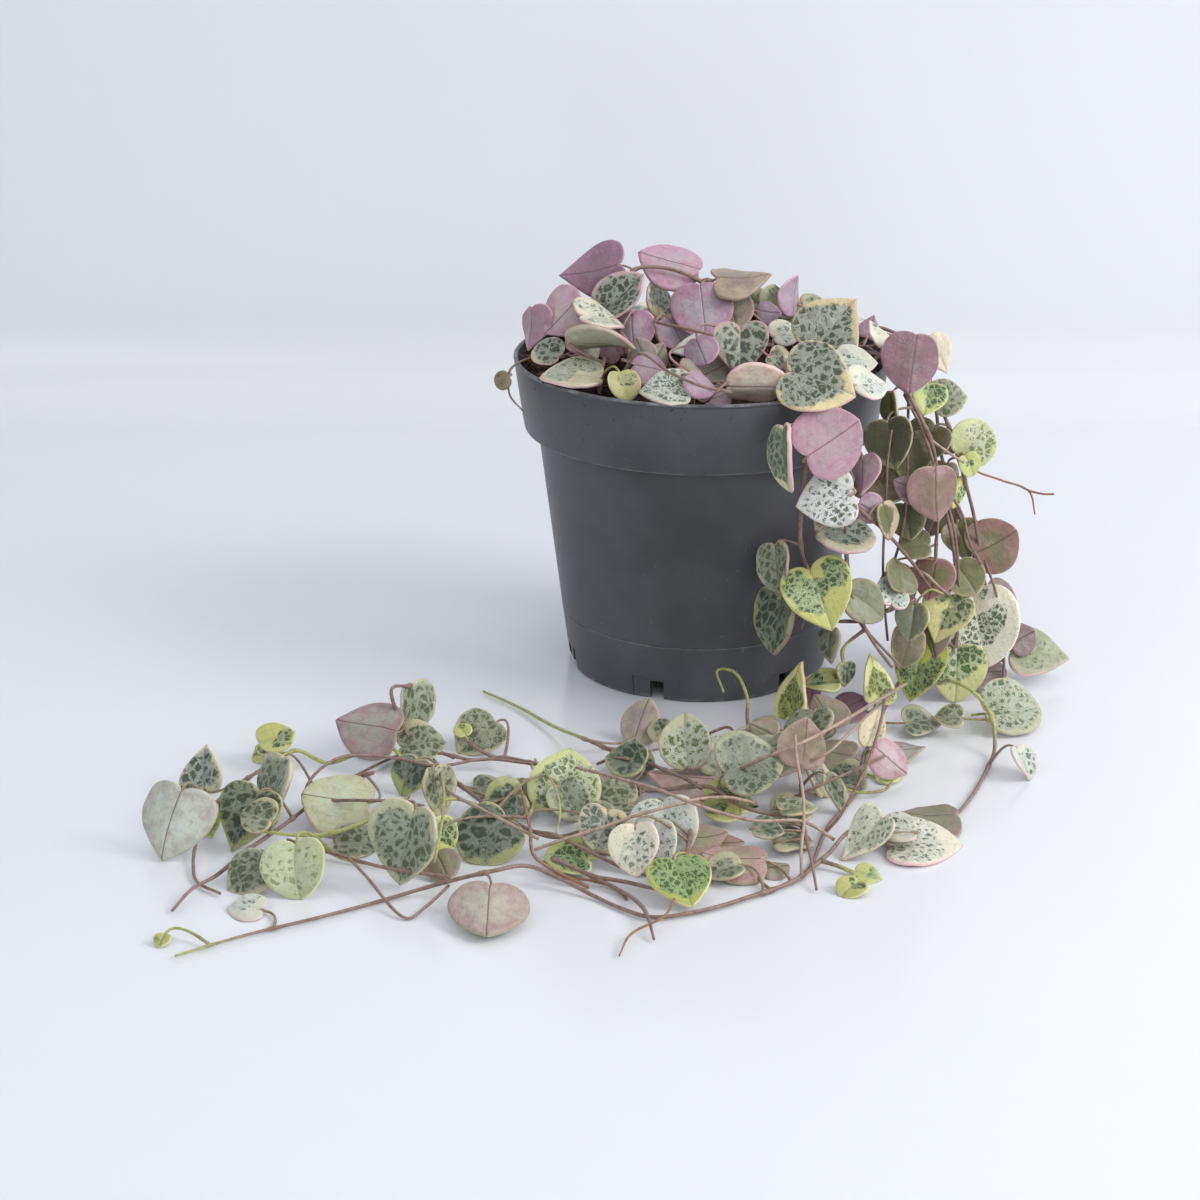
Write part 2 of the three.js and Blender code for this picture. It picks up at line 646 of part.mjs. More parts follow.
function potSolid() {
  const wallLean = Math.atan2(neckRadius - footRadius, bandFoot);
  const ringInner = footRadius - footRingWidth;
  const floorTop = floorHeight + floorThickness;
  const profile = [
    [0, 0], [padRadius, 0], [padRadius + 0.6, floorHeight], [ringInner, floorHeight], [ringInner, 0],
    [footRadius - 0.8, 0], [footRadius, 1.2], [neckRadius, bandFoot],
    [bandFootRadius - 0.6, bandFoot], [bandFootRadius, bandFoot + 0.7], [rimRadius, potHeight - 0.9],
    [rimRadius - 0.4, potHeight], [rimRadius - wall, potHeight], [bandFootRadius - wall, bandFoot + wall],
    [neckRadius - wall + 0.2, bandFoot], [potRadiusAt(floorTop) - wall, floorTop], [0, floorTop],
  ];
  let body = solid(new THREE.LatheGeometry(profile.map((p) => new THREE.Vector2(...p)), potSides));
  // the lathe turns about Y, so it is stood up along Z
  body = body.rotate([90, 0, 0]);
  for (let i = 0; i < notchCount; i += 1) {
    const angle = firstNotchAngle + (360 * i) / notchCount;
    const notch = new THREE.BoxGeometry(8, notchWidth, 2 * notchHeight);
    notch.translate(footRadius - 1.5, 0, 0);
    // a recess leans back as the wall does
    const recess = new THREE.BoxGeometry(recessBlock, recessWidth, 2 * recessHeight);
    recess.translate(recessBlock / 2 - recessDepth, 0, 0);
    recess.rotateY(wallLean);
    recess.translate(footRadius, 0, 0);
    body = body.subtract(solid(notch).rotate([0, 0, angle]));
    body = body.subtract(solid(recess).rotate([0, 0, angle]));
  }
  return body;
}

function soilSolid(stands) {
  const bottom = floorHeight + floorThickness + gap;
  const edgeTop = soilTop + 0.6;
  const inner = (z) => potRadiusAt(z) - wall - gap;
  const profile = [
    [0, bottom], [inner(bottom), bottom], [neckRadius - wall - gap, bandFoot + 0.4],
    [bandFootRadius - wall - 2 * gap, bandFoot + wall + 2 * gap], [inner(edgeTop) - 0.2, edgeTop],
    [0.7 * rimRadius, soilTop + 0.2], [0, soilTop],
  ];
  const geometry = new THREE.LatheGeometry(profile.map((p) => new THREE.Vector2(...p)), potSides);
  geometry.rotateX(Math.PI / 2);
  // the soil is heaped toward the left
  const place = geometry.getAttribute('position');
  for (let i = 0; i < place.count; i += 1) {
    const z = place.getZ(i);
    if (z > bandFoot + 5) {
      const lean = THREE.MathUtils.clamp(-place.getX(i) / rimRadius, 0, 1);
      place.setZ(i, z + soilHeap * lean * lean);
    }
  }
  let body = solid(geometry);
  for (const [x, y] of stands) {
    const hole = new THREE.CylinderGeometry(holeRadius, holeRadius, 20, 5);
    hole.rotateX(Math.PI / 2);
    hole.translate(x, y, holeFloor + 10);
    body = body.subtract(solid(hole));
  }
  return body;
}

// ---- stems ----
// fine points of the stems that lie on the surface, which later stems rise over
const laid = [];

// points along the straight stretches of a tube's middle line
function middleLine(points, steps) {
  const corners = new THREE.CatmullRomCurve3(points, false, 'centripetal').getSpacedPoints(steps);
  const line = [];
  for (let i = 0; i < steps; i += 1) {
    for (let k = 0; k < finePerStep; k += 1) {
      line.push(corners[i].clone().lerp(corners[i + 1], k / finePerStep));
    }
  }
  line.push(corners[steps]);
  return line;
}

function layStem(points, owner) {
  const curve = new THREE.CatmullRomCurve3(vectors(points), false, 'centripetal');
  const length = curve.getLength();
  const steps = Math.max(2, Math.round(length / stemStep));
  const line = curve.getSpacedPoints(steps * finePerStep);
  for (const p of line) {
    p.z = Math.max(p.z, stemRadius + surfaceHeight);
    if (p.z < lowHeight) {
      for (const other of laid) {
        if (other.owner !== owner) {
          const away = Math.hypot(p.x - other.x, p.y - other.y);
          const beyond = Math.max(0, away - crossingWidth);
          p.z = Math.max(p.z, other.z + riseOver - riseSlope * beyond);
        }
      }
    }
  }
  const own = line.filter((p) => p.z < lowHeight).map((p) => ({ x: p.x, y: p.y, z: p.z, owner }));
  const coarse = line.filter((p, i) => i % finePerStep === 0);
  return { coarse, steps, own };
}

// ---- leaves ----
function leafFrame(turn, leanRight, leanUp) {
  const t = THREE.MathUtils.degToRad(turn);
  const a = THREE.MathUtils.degToRad(leanRight);
  const b = THREE.MathUtils.degToRad(leanUp);
  const facing = toward.clone().multiplyScalar(Math.cos(b) * Math.cos(a));
  facing.addScaledVector(right, Math.sin(a) * Math.cos(b));
  facing.addScaledVector(upward, Math.sin(b));
  const along = right.clone().multiplyScalar(Math.sin(t)).addScaledVector(upward, Math.cos(t));
  along.addScaledVector(facing, -along.dot(facing)).normalize();
  return { facing, along };
}

// the corners of a blade: its edge from the notch round to the notch, then a spine point on each face
function bladePoints(middle, along, top, size, grow) {
  const across = along.clone().cross(top);
  const long = size + 2 * grow;
  const thick = Math.max(leastThickness, leafThickness * size) / 2 + grow;
  const edge = leafEdge.concat(leafEdge.slice(1, -1).reverse().map(([u, v]) => [-u, v]));
  const points = [];
  for (const [u, v] of edge) {
    const rise = leafFold * Math.abs(u) - leafCurl * Math.max(0, v);
    const p = middle.clone().addScaledVector(across, u * leafWidth * long).addScaledVector(along, v * long);
    points.push(p.addScaledVector(top, rise * size));
  }
  for (const side of [1, -1]) {
    points.push(middle.clone().addScaledVector(along, spineAlong * long).addScaledVector(top, side * thick));
  }
  return points;
}

// the petiole's rings of three corners, from its root in the stem to the notch
function petioleRings(curve, steps, radius, across) {
  const rings = [];
  const side = across.clone();
  for (let i = steps; i >= 0; i -= 1) {
    const tangent = curve.getTangent(i / steps);
    side.addScaledVector(tangent, -side.dot(tangent)).normalize();
    const under = tangent.clone().cross(side).negate();
    const centre = curve.getPoint(i / steps);
    rings.unshift([
      centre.clone().addScaledVector(side, radius),
      centre.clone().addScaledVector(under, -petioleKeel * radius),
      centre.clone().addScaledVector(side, -radius),
    ]);
  }
  return rings;
}

function meshOf(points, faces) {
  const geometry = new THREE.BufferGeometry();
  geometry.setAttribute('position', new THREE.Float32BufferAttribute(points.flatMap((p) => p.toArray()), 3));
  geometry.setIndex(faces);
  return solid(geometry);
}

// the sides and the root's end of a stalk
function ringFaces(count) {
  const faces = [0, 2, 1];
  for (let i = 0; i < count - 1; i += 1) {
    for (let k = 0; k < 3; k += 1) {
      const a = 3 * i + k;
      const b = 3 * i + ((k + 1) % 3);
      faces.push(a, b, b + 3, a, b + 3, a + 3);
    }
  }
  return faces;
}

function stalkSolid(rings) {
  const last = 3 * rings.length - 3;
  return meshOf(rings.flat(), ringFaces(rings.length).concat([last, last + 1, last + 2]));
}

// the two faces of a blade, all but what meets the notch: edge corners first, spine points after them
function bladeFaces(edgeCount, at) {
  const faces = [];
  for (let i = 1; i < edgeCount - 1; i += 1) {
    faces.push(at(edgeCount), at(i), at(i + 1), at(edgeCount + 1), at(i + 1), at(i));
  }
  return faces;
}

function blade(points) {
  const n = 2 * leafEdge.length - 2;
  const faces = bladeFaces(n, (i) => i);
  faces.push(n, 0, 1, n, n - 1, 0, n + 1, 1, 0, n + 1, 0, n - 1);
  return meshOf(points, faces);
}

// blade and petiole in one skin, where the notch opens into the petiole's last ring
function bladeOnPetiole(points, rings) {
  const n = 2 * leafEdge.length - 2;
  const base = 3 * rings.length;
  const corners = rings.flat().concat(points);
  const at = (i) => base + i;
  const [right3, under3, left3] = [base - 3, base - 2, base - 1];
  const faces = ringFaces(rings.length).concat(bladeFaces(n, at));
  faces.push(at(n), right3, at(1), at(n), at(n - 1), left3, at(n), left3, right3);
  faces.push(at(n + 1), at(1), right3, at(n + 1), left3, at(n - 1));
  faces.push(at(n + 1), right3, under3, at(n + 1), under3, left3);
  return meshOf(corners, faces);
}

// the stem point that a petiole or a shoot grows from, rather behind the leaf than under it,
// away from the stems' ends and from what grows there already
function rootOf(strand, notch, along, leastReach) {
  let best = null;
  let least = Infinity;
  for (const p of strand.lines.flatMap((line) => line.slice(1, -1))) {
    const reach = p.distanceTo(notch);
    const away = reach + fromBehind * Math.max(0, p.clone().sub(notch).dot(along));
    const apart = strand.roots.every((root) => root.distanceTo(p) > rootSpacing);
    if (apart && reach >= leastReach && away < least) {
      least = away;
      best = p;
    }
  }
  return best;
}

function leafSolid(row, shift, strand, grow) {
  const [x, y, z, turn, leanRight, leanUp, size, kind] = row;
  const { facing, along } = leafFrame(turn, leanRight + shift[2], leanUp + shift[3]);
  const top = kind.endsWith('b') ? facing.clone().negate() : facing;
  const middle = new THREE.Vector3(x, y, z).addScaledVector(toward, shift[0]);
  middle.z += shift[1];
  const bare = bladePoints(middle, along, top, size, 0);
  const lowest = Math.min(bare[0].z - petioleKeel * petioleRadius, ...bare.map((p) => p.z));
  middle.z += Math.max(0, surfaceHeight - lowest);
  const points = bladePoints(middle, along, top, size, grow);
  const notch = points[0];
  const root = rootOf(strand, notch, along, leastPetiole);
  const reach = root.distanceTo(notch);
  const bend = notch.clone().addScaledVector(along, -petioleBend * reach);
  bend.z = Math.max(bend.z, petioleRadius + surfaceHeight);
  const curve = new THREE.QuadraticBezierCurve3(root, bend, notch);
  const steps = petioleSteps + (reach > shortPetiole ? 1 : 0);
  const rings = petioleRings(curve, steps, petioleRadius + grow, along.clone().cross(top));
  const flat = blade(points);
  const outside = notch.clone().addScaledVector(along, -clearOfNotch * size);
  const short = new THREE.QuadraticBezierCurve3(root, bend, outside);
  const shortRings = petioleRings(short, steps, petioleRadius, along.clone().cross(top));
  const crosses = flat.intersect(stalkSolid(shortRings)).volume() > leastOverlap;
  if (!crosses) return { body: bladeOnPetiole(points, rings), blade: flat, root };
  // a petiole that passes through its own blade is a solid by itself, sunk into the notch
  rings.push(rings[steps].map((p) => p.clone().addScaledVector(along, petioleSink * size)));
  const beside = top.clone().multiplyScalar(besideTop);
  beside.addScaledVector(along.clone().cross(top), besideAcross);
  const sunk = rings.map((ring) => ring.map((p) => p.clone().add(beside)));
  return { body: flat.add(stalkSolid(sunk)), blade: flat, root };
}

// ---- build ----
const bodies = new Map();
const stands = [];
for (const strand of strands) {
  strand.lines = [];
  strand.roots = [];
  const own = [];
  let body = null;
  for (const points of strand.stems) {
    // a side shoot starts on the stem that it grows from
    if (body) {
      const root = rootOf(strand, new THREE.Vector3(...points[0]), still, 0);
      strand.roots.push(root);
      points[0] = root.toArray();
    }
    const stem = layStem(points, strand.name);
    strand.lines.push(middleLine(stem.coarse, stem.steps));
    own.push(...stem.own);
    const piece = tube(stem.coarse, stemRadius, stemSides, stem.steps);
    body = body ? body.add(piece) : piece;
    if (points[0][2] === standHeight) stands.push(points[0]);
  }
  laid.push(...own);
  bodies.set(strand.name, body);
}
bodies.set('pot', potSolid());
bodies.set('soil', soilSolid(stands));

function meets(piece, body) {
  const box = piece.boundingBox();
  const other = body.boundingBox();
  const near = [0, 1, 2].every((i) => box.min[i] < other.max[i] && other.min[i] < box.max[i]);
  return near && piece.intersect(body).volume() > leastOverlap;
}

for (const strand of strands) {
  const siblings = [];
  const isOther = (name) => name !== strand.name;
  const clearOfOthers = (piece) => ![...bodies].some(([name, body]) => isOther(name) && meets(piece, body));
  const clearOfSiblings = (piece) => !siblings.some((body) => meets(piece, body));
  for (const row of strand.leaves) {
    const grown = tries.map((shift) => leafSolid(row, shift, strand, gap));
    const free = grown.map((leaf) => clearOfOthers(leaf.body));
    let chosen = grown.findIndex((leaf, i) => free[i] && clearOfSiblings(leaf.blade));
    if (chosen < 0) chosen = free.indexOf(true);
    if (chosen >= 0) {
      const leaf = leafSolid(row, tries[chosen], strand, 0);
      siblings.push(leaf.body);
      strand.roots.push(leaf.root);
      bodies.set(strand.name, bodies.get(strand.name).add(leaf.body));
    }
  }
  // scraps that a join leaves loose are dropped
  const parts = bodies.get(strand.name).decompose().sort((a, b) => b.volume() - a.volume());
  bodies.set(strand.name, parts[0]);
}

const looks = {
  pot: [0x4a4c51, 0.55],
  soil: [0x3a2a20, 0.95],
  crown: [0xa58f9c, 0.5],
  front: [0x9aa58a, 0.5],
  curtain: [0x93967f, 0.5],
  trail: [0x8e9b82, 0.5],
};
const plant = new THREE.Group();
for (const [name, body] of bodies) {
  const [colour, roughness] = looks[name.split('_')[0]] || looks.trail;
  const material = new THREE.MeshStandardMaterial({ color: colour, roughness, metalness: 0 });
  const mesh = new THREE.Mesh(geometryOf(body), material);
  mesh.name = name;
  plant.add(mesh);
}
export default plant;
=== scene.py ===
# A string of hearts in its nursery pot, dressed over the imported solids. Metres, +Z up, -Y is the front.
import bpy
import json
import math
import random
from mathutils import Matrix, Vector, kdtree, noise


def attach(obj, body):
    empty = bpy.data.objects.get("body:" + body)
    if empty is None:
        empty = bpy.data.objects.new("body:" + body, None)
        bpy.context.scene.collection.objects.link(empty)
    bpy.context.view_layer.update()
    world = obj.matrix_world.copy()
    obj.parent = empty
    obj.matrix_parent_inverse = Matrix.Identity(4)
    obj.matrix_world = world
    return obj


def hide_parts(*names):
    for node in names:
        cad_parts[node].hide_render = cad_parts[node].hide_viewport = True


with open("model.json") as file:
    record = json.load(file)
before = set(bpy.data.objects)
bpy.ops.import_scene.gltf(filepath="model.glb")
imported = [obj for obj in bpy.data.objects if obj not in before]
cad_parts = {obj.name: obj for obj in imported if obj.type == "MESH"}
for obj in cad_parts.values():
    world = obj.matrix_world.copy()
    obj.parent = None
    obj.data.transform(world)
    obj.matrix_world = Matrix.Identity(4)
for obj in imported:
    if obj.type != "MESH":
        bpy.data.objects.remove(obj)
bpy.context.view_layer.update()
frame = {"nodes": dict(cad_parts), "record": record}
scene = bpy.context.scene
mm = 0.001
draw = random.Random(11)
viewPitch = math.radians(20.45)
right = Vector((1, 0, 0))
upward = Vector((0, math.sin(viewPitch), math.cos(viewPitch)))
toward = Vector((0, -math.cos(viewPitch), math.sin(viewPitch)))

# The strands, in mm: the points of each stem, then the leaves as the middle of the blade, the turn of the
# tip clockwise from up, its leans to the right and up, its length and its kind, b where the underside shows.
strands = [
    ("crown_left", [
        [(-31, -14, 80), (-31, -14, 87), (-34, -12, 95), (-36, -8, 99), (-39, -6, 101), (-44, -2, 101)],
        [(-35, -12, 94), (-39, -14, 93), (-43, -16, 95)],
    ], [
        (-38, -6, 103, -135, -20, 10, 15, "vb"), (-47, -2, 98, 175, -55, 0, 13, "vb"),
        (-43, -16, 95, -60, -10, 30, 9, "v"), (-32, -14, 97, 40, 20, 20, 10, "ob"),
    ]),
    ("crown_umbrella", [
        [(-29, -27, 80), (-29, -27, 86), (-27, -24, 93), (-27, -22, 96)],
    ], [
        (-28, -20, 95, 80, -5, -72, 19, "ob"), (-22, -36, 91, 170, 20, 20, 9, "y"),
        (-36, -29, 92, -85, 10, 58, 17, "w"),
    ]),
    ("crown_inner", [
        [(-20, -18, 80), (-20, -18, 87), (-21, -16, 95), (-21, -12, 99), (-25, -9, 102)],
        [(-21, -16, 96), (-16, -18, 95), (-13, -18, 96)],
    ], [
        (-28, -9, 102, 62, 35, 55, 15, "w"), (-19, -9, 99, 180, -20, 0, 12, "vb"),
        (-17, -22, 97, -20, -30, 0, 8, "ob"), (-13, -22, 96, 30, 20, 0, 8, "ob"),
        (-15, -24, 92, 100, 20, 25, 10, "vb"), (-25, -6, 95, -40, -20, 10, 10, "vb"),
    ]),
    ("crown_arch", [
        [(-15, -3, 80), (-15, -3, 87), (-18, -2, 98), (-21, 0, 106), (-21, 2, 112), (-17, 3, 114),
         (-12, 4, 114), (-6, 4, 113), (0, 3, 110), (8, 3, 105), (16, 3, 100), (20, 2, 96)],
        [(0, 3, 110), (2, 2, 111), (3, 3, 110)],
    ], [
        (-30, 4, 113, -98, -15, 10, 18, "vb"), (-9, 9, 114, -70, 10, 40, 18, "vb"),
        (-22, -3, 108, 48, -25, 15, 16, "v"), (-12, 4, 106, 35, 60, 10, 14, "v"),
        (0, -4, 103, 176, 5, 5, 17, "vb"), (11, 5, 110, 80, 10, 50, 16, "ob"),
        (19, 4, 101, 100, 0, 20, 7, "vb"), (9, 0, 101, 160, -20, 20, 12, "ob"),
        (-7, -4, 97, 150, 30, 10, 11, "vb"),
    ]),
    ("crown_back", [
        [(9, 12, 80), (9, 12, 87), (17, 13, 95), (17, 14, 100), (21, 14, 102), (26, 13, 101), (31, 14, 100)],
    ], [
        (26, 11, 104, 5, 60, 0, 12, "vb"), (14, 16, 102, -60, 0, 20, 9, "o"),
        (21, 17, 102, 10, 10, 20, 9, "o"), (33, 15, 100, 80, 20, 30, 9, "o"),
    ]),
    ("crown_heart", [
        [(10, -8, 80), (10, -8, 87), (11, -10, 96), (10, -11, 98), (6, -12, 99), (2, -14, 99)],
        [(11, -10, 94), (16, -10, 96), (21, -12, 95)],
    ], [
        (10, -19, 97, 178, 0, 15, 15, "d"), (-3, -20, 97, -82, -10, 50, 12, "w"),
        (23, -8, 98, 60, 10, 30, 9, "w"), (21, -24, 94, 120, 20, 30, 9, "v"),
        (2, -18, 90, -120, 0, 20, 10, "ob"), (7, -12, 93, 60, 10, 20, 9, "v"),
        (-1, -26, 98, 160, -20, 10, 9, "vb"), (-4, -30, 93, 120, 20, 20, 8, "ob"),
    ]),
    ("crown_front", [
        [(-3, -32, 80), (-3, -32, 87), (-2, -34, 91), (2, -36, 93), (5, -38, 93)],
        [(-1, -34, 90), (-4, -37, 91), (-8, -39, 92)],
    ], [
        (-11, -43, 92, -80, 0, 45, 14, "w"), (-2, -43, 92, 130, 20, 20, 9, "vb"),
        (14, -42, 93, 92, 5, -48, 18, "wb"), (3, -40, 89, 60, 10, 35, 9, "vb"),
    ]),
    ("crown_low", [
        [(17, -24, 80), (17, -24, 87), (19, -32, 94), (22, -36, 97), (31, -32, 97), (36, -32, 96)],
        [(20, -34, 95), (22, -40, 96)],
    ], [
        (29, -46, 94, 112, 0, 10, 20, "v"), (41, -30, 96, 75, 10, 40, 11, "w"),
        (43, -38, 92, 60, 30, 40, 12, "w"), (26, -28, 93, 200, -10, 20, 10, "ob"),
    ]),
    ("crown_high", [
        [(25, -10, 80), (25, -10, 88), (33, -14, 95), (32, -16, 97), (38, -12, 95), (42, -9, 95),
         (47, -6, 94)],
    ], [
        (35, -19, 103, 42, 0, 12, 20, "v"), (47, -13, 96, 5, 50, 10, 9, "w"),
        (50, -13, 95, 15, 50, 10, 9, "w"), (47, 0, 98, 20, 10, 10, 7, "vb"),
    ]),
    ("crown_right", [
        [(36, -18, 80), (36, -18, 88), (43, -20, 92), (45, -20, 93), (50, -20, 98), (54, -20, 100),
         (61, -16, 97)],
    ], [
        (56, -21, 93, 188, 20, 0, 17, "vb"), (64, -14, 94, 150, 10, 20, 11, "w"),
        (61, -22, 84, 200, 20, 30, 11, "y"),
    ]),
    ("dry_sprig", [
        [(-38, -10, 80), (-38, -10, 88), (-43, -12, 92), (-49, -14, 93), (-53, -16, 90), (-53, -18, 89),
         (-53, -20, 87), (-53, -22, 85), (-51, -25, 84), (-49, -29, 82)],
    ], [
        (-55, -20, 88, -120, -20, 0, 5, "p"),
    ]),
    ("front_main", [
        [(20, -33, 80), (20, -33, 89), (23, -42, 92), (25, -50, 92), (26, -52, 87), (26, -52, 75),
         (25, -52, 61), (26, -52, 46), (29, -51, 40), (27, -50, 32), (26, -50, 27)],
    ], [
        (20, -53, 76, 172, -68, 0, 18, "v"), (32, -55, 82, 55, 10, 0, 18, "wb"),
        (31, -57, 66, -100, -10, 10, 16, "w"), (19, -51, 45, 170, -60, 0, 14, "o"),
        (30, -57, 39, 160, 0, 12, 19, "y"), (20, -51, 30, 182, -60, 10, 19, "d"),
    ]),
    ("front_side", [
        [(29, -27, 80), (29, -27, 89), (32, -36, 92), (34, -46, 91), (36, -48, 83), (37, -49, 65),
         (38, -50, 46), (41, -50, 31), (47, -50, 23), (54, -48, 15)],
        [(38, -49, 65), (42, -46, 59), (47, -43, 54), (53, -40, 47), (59, -38, 39), (63, -37, 33)],
        [(44, -50, 27), (39, -52, 25), (37, -52, 20), (39, -52, 13)],
    ], [
        (42, -44, 69, 175, -50, 0, 11, "vb"), (37, -53, 55, 88, 15, 52, 17, "v"),
        (34, -52, 23, 176, -60, 0, 10, "o"), (43, -52, 35, 120, 20, 10, 14, "o"),
        (38, -53, 15, 170, 40, 0, 7, "d"), (32, -54, 13, -80, 0, 55, 10, "y"),
        (49, -42, 55, 150, 40, 0, 11, "d"), (45, -44, 59, 120, 10, -20, 9, "vb"),
    ]),
    ("curtain_inner", [
        [(38, -8, 80), (38, -8, 90), (43, -12, 94), (49, -18, 94), (52, -23, 91), (56, -28, 85),
         (61, -30, 75), (63, -31, 69), (64, -32, 41), (64, -32, 36)],
    ], [
        (56, -30, 51, 170, -20, 10, 11, "o"), (51, -28, 82, 178, -60, 0, 11, "d"),
        (50, -30, 73, 170, -30, 0, 14, "d"), (56, -33, 71, 190, 30, 0, 15, "d"),
        (55, -34, 62, -70, 0, 30, 9, "vb"), (62, -34, 60, 175, 20, 0, 15, "vb"),
        (58, -34, 45, -90, 0, 30, 9, "o"), (63, -35, 36, 190, -10, 0, 12, "ob"),
        (55, -34, 34, 150, 20, 10, 11, "ob"), (50, -28, 65, -160, -35, 0, 11, "ob"),
    ]),
    ("curtain_mid", [
        [(43, -2, 80), (43, -2, 90), (49, -4, 94), (55, -8, 92), (58, -14, 87), (60, -22, 78),
         (62, -25, 66), (68, -26, 49), (71, -27, 30), (71, -30, 16), (66, -36, 6.5), (62, -40, 5.1)],
    ], [
        (49, -27, 62, -130, -10, 35, 19, "ob"), (73, -29, 34, 150, 0, 20, 11, "o"),
        (67, -33, 24, 200, 0, 10, 15, "v"), (71, -34, 4, 185, 10, 10, 17, "v"),
        (60, -38, 11, -165, -10, 20, 19, "y"), (56, -40, 18, 200, 25, 5, 13, "o"),
        (64, -34, 18, 160, -30, 5, 12, "ob"),
    ]),
    ("curtain_cross", [
        [(52, -44, 31), (45, -46, 29), (40, -47, 28)],
        [(52, -44, 31), (58, -40, 32)],
    ], [
        (57, -36, 24, -170, -20, 20, 11, "o"), (51, -44, 36, 20, 30, 40, 14, "w"),
        (53, -40, 39, 10, 40, 20, 11, "o"),
    ]),
    ("curtain_outer", [
        [(44, 6, 80), (44, 6, 90), (50, 4, 95), (56, -1, 94), (59, -6, 90), (62, -12, 86), (64, -15, 82),
         (68, -18, 74), (70, -20, 68), (76, -20, 48), (80, -21, 28), (85, -22, 13), (86, -24, 4.1),
         (86, -26, -3.7)],
        [(70, -20, 68), (74, -18, 63), (83, -14, 58), (91, -12, 54), (94, -12, 53), (95, -12, 51),
         (93, -12, 49), (94, -12, 47)],
    ], [
        (68, -16, 82, 80, 10, 20, 11, "o"), (61, -22, 71, -150, -10, 10, 13, "d"),
        (67, -23, 70, 110, 0, -60, 6, "vb"), (75, -17, 70, 40, 10, 0, 13, "y"),
        (73, -21, 64, 150, 30, 0, 7, "y"), (70, -23, 57, 190, 60, 0, 9, "y"),
        (82, -19, 41, 60, 10, 10, 15, "ob"), (78, -26, 18, 168, -15, 10, 23, "w"),
        (96, -20, 8, 92, 10, 35, 18, "w"), (91, -18, 12, 60, 10, 20, 9, "vb"),
        (76, -22, -6, -110, -10, 20, 12, "o"), (81, -24, -1, 80, 10, 25, 11, "vb"),
        (68, -17, 59, 185, 30, 0, 10, "ob"),
    ]),
    ("curtain_back", [
        [(43, 14, 80), (43, 14, 90), (49, 11, 95), (61, 2, 91), (65, -6, 79), (67, -9, 65), (70, -10, 54),
         (78, -11, 33), (81, -12, 21), (83, -13, 9.5), (82, -14, 5.3)],
    ], [
        (74, -12, 39, 160, 10, 0, 12, "o"), (76, -14, 19, 190, -30, 0, 13, "o"),
        (86, -12, 21, 126, 20, 12, 12, "vb"), (67, -8, 45, 200, -20, 0, 12, "ob"),
        (71, -12, 4, 170, 20, 10, 13, "ob"),
    ]),
    ("trail_loop", [
        [(65, -42, 7.8), (67, -61, 16), (72, -64, 14), (76, -68, 9), (77, -71, 5), (76, -75, 2),
         (72, -87, 1), (66, -103, 1), (61, -113, 1), (56, -122, 1)],
        [(76, -68, 9), (77, -50, -1.1), (78, -51, -3.7), (75, -52, -5.6), (73, -52, -5.3)],
    ], [
        (84, -54, 5, 80, 10, 35, 17, "v"), (82, -87, 4, 170, 50, 30, 10, "w"),
        (66, -59, 5, -80, 0, 40, 8, "o"), (54, -118, 3, -95, 0, 62, 15, "ob"),
    ]),
    ("trail_right", [
        [(66, -27, 12), (60, -31, 8), (57, -31, 4), (53, -42, 1), (49, -51, 1), (43, -73, 1), (38, -97, 1),
         (28, -121, 1), (20, -147, 1), (8, -157, 1), (-5, -165, 1), (-17, -168, 1), (-30, -157, 1),
         (-44, -150, 5), (-48, -152, 6), (-59, -157, 6), (-68, -156, 3), (-75, -157, 1), (-93, -168, 1),
         (-111, -178, 1), (-124, -187, 1)],
        [(20, -147, 1), (28, -137, 3), (33, -132, 6), (40, -130, 5), (43, -131, 3)],
        [(25, -141, 2), (32, -145, 1), (36, -146, 1), (33, -151, 1)],
    ], [
        (51, -76, 2, 90, 0, 62, 13, "vb"), (51, -130, 0, 78, 0, 58, 20, "w"),
        (36, -133, 4, -140, -10, 30, 16, "o"), (44, -71, 7, 20, 10, 30, 13, "w"),
        (59, -58, 3, 80, 10, 40, 11, "o"), (31, -154, 1, -150, 0, 50, 7, "y"),
        (36, -149, 1, 110, 0, 50, 7, "y"), (4, -142, 3, -80, 0, 62, 16, "ob"),
        (14, -145, 2, 75, 0, 60, 7, "ob"), (-54, -171, 4, 182, 0, 48, 18, "vb"),
        (-111, -164, 1, -80, 0, 50, 9, "w"), (-128, -180, 1, -170, 0, 45, 4, "y"),
        (33, -83, 5, -70, 0, 45, 12, "ob"), (36, -89, 1, -85, 0, 50, 10, "o"),
        (1, -145, 1, -120, 10, 45, 10, "o"), (47, -88, 1, 75, 0, 55, 8, "y"),
        (46, -97, 9, 130, 20, 20, 11, "vb"), (44, -128, 4, -80, 0, 55, 11, "w"),
    ]),
    ("trail_front", [
        [(43, -46, 3), (36, -55, 2), (29, -65, 1), (24, -83, 3), (23, -104, 4), (22, -118, 2),
         (22, -133, 1), (23, -154, 1)],
    ], [
        (46, -54, 14, 5, 35, 10, 14, "v"), (24, -62, 14, -5, -55, 10, 16, "v"),
        (29, -57, 12, 10, 40, 0, 9, "vb"), (40, -53, 6, 60, 0, 30, 9, "vb"),
        (27, -98, 6, 0, 50, 20, 13, "v"), (26, -76, 5, 175, -40, 20, 13, "o"),
        (16, -57, 2, -50, 0, 50, 7, "o"), (20, -126, 0, 80, 0, 65, 9, "o"),
        (20, -111, 1, 95, 0, 50, 11, "o"), (19, -94, 6, -160, -40, 15, 12, "o"),
        (32, -63, 7, -30, -30, 20, 12, "ob"), (31, -108, 5, 160, 30, 20, 11, "w"),
        (23, -106, 18, 10, 20, 10, 13, "vb"), (21, -120, 6, 60, 0, 65, 10, "o"),
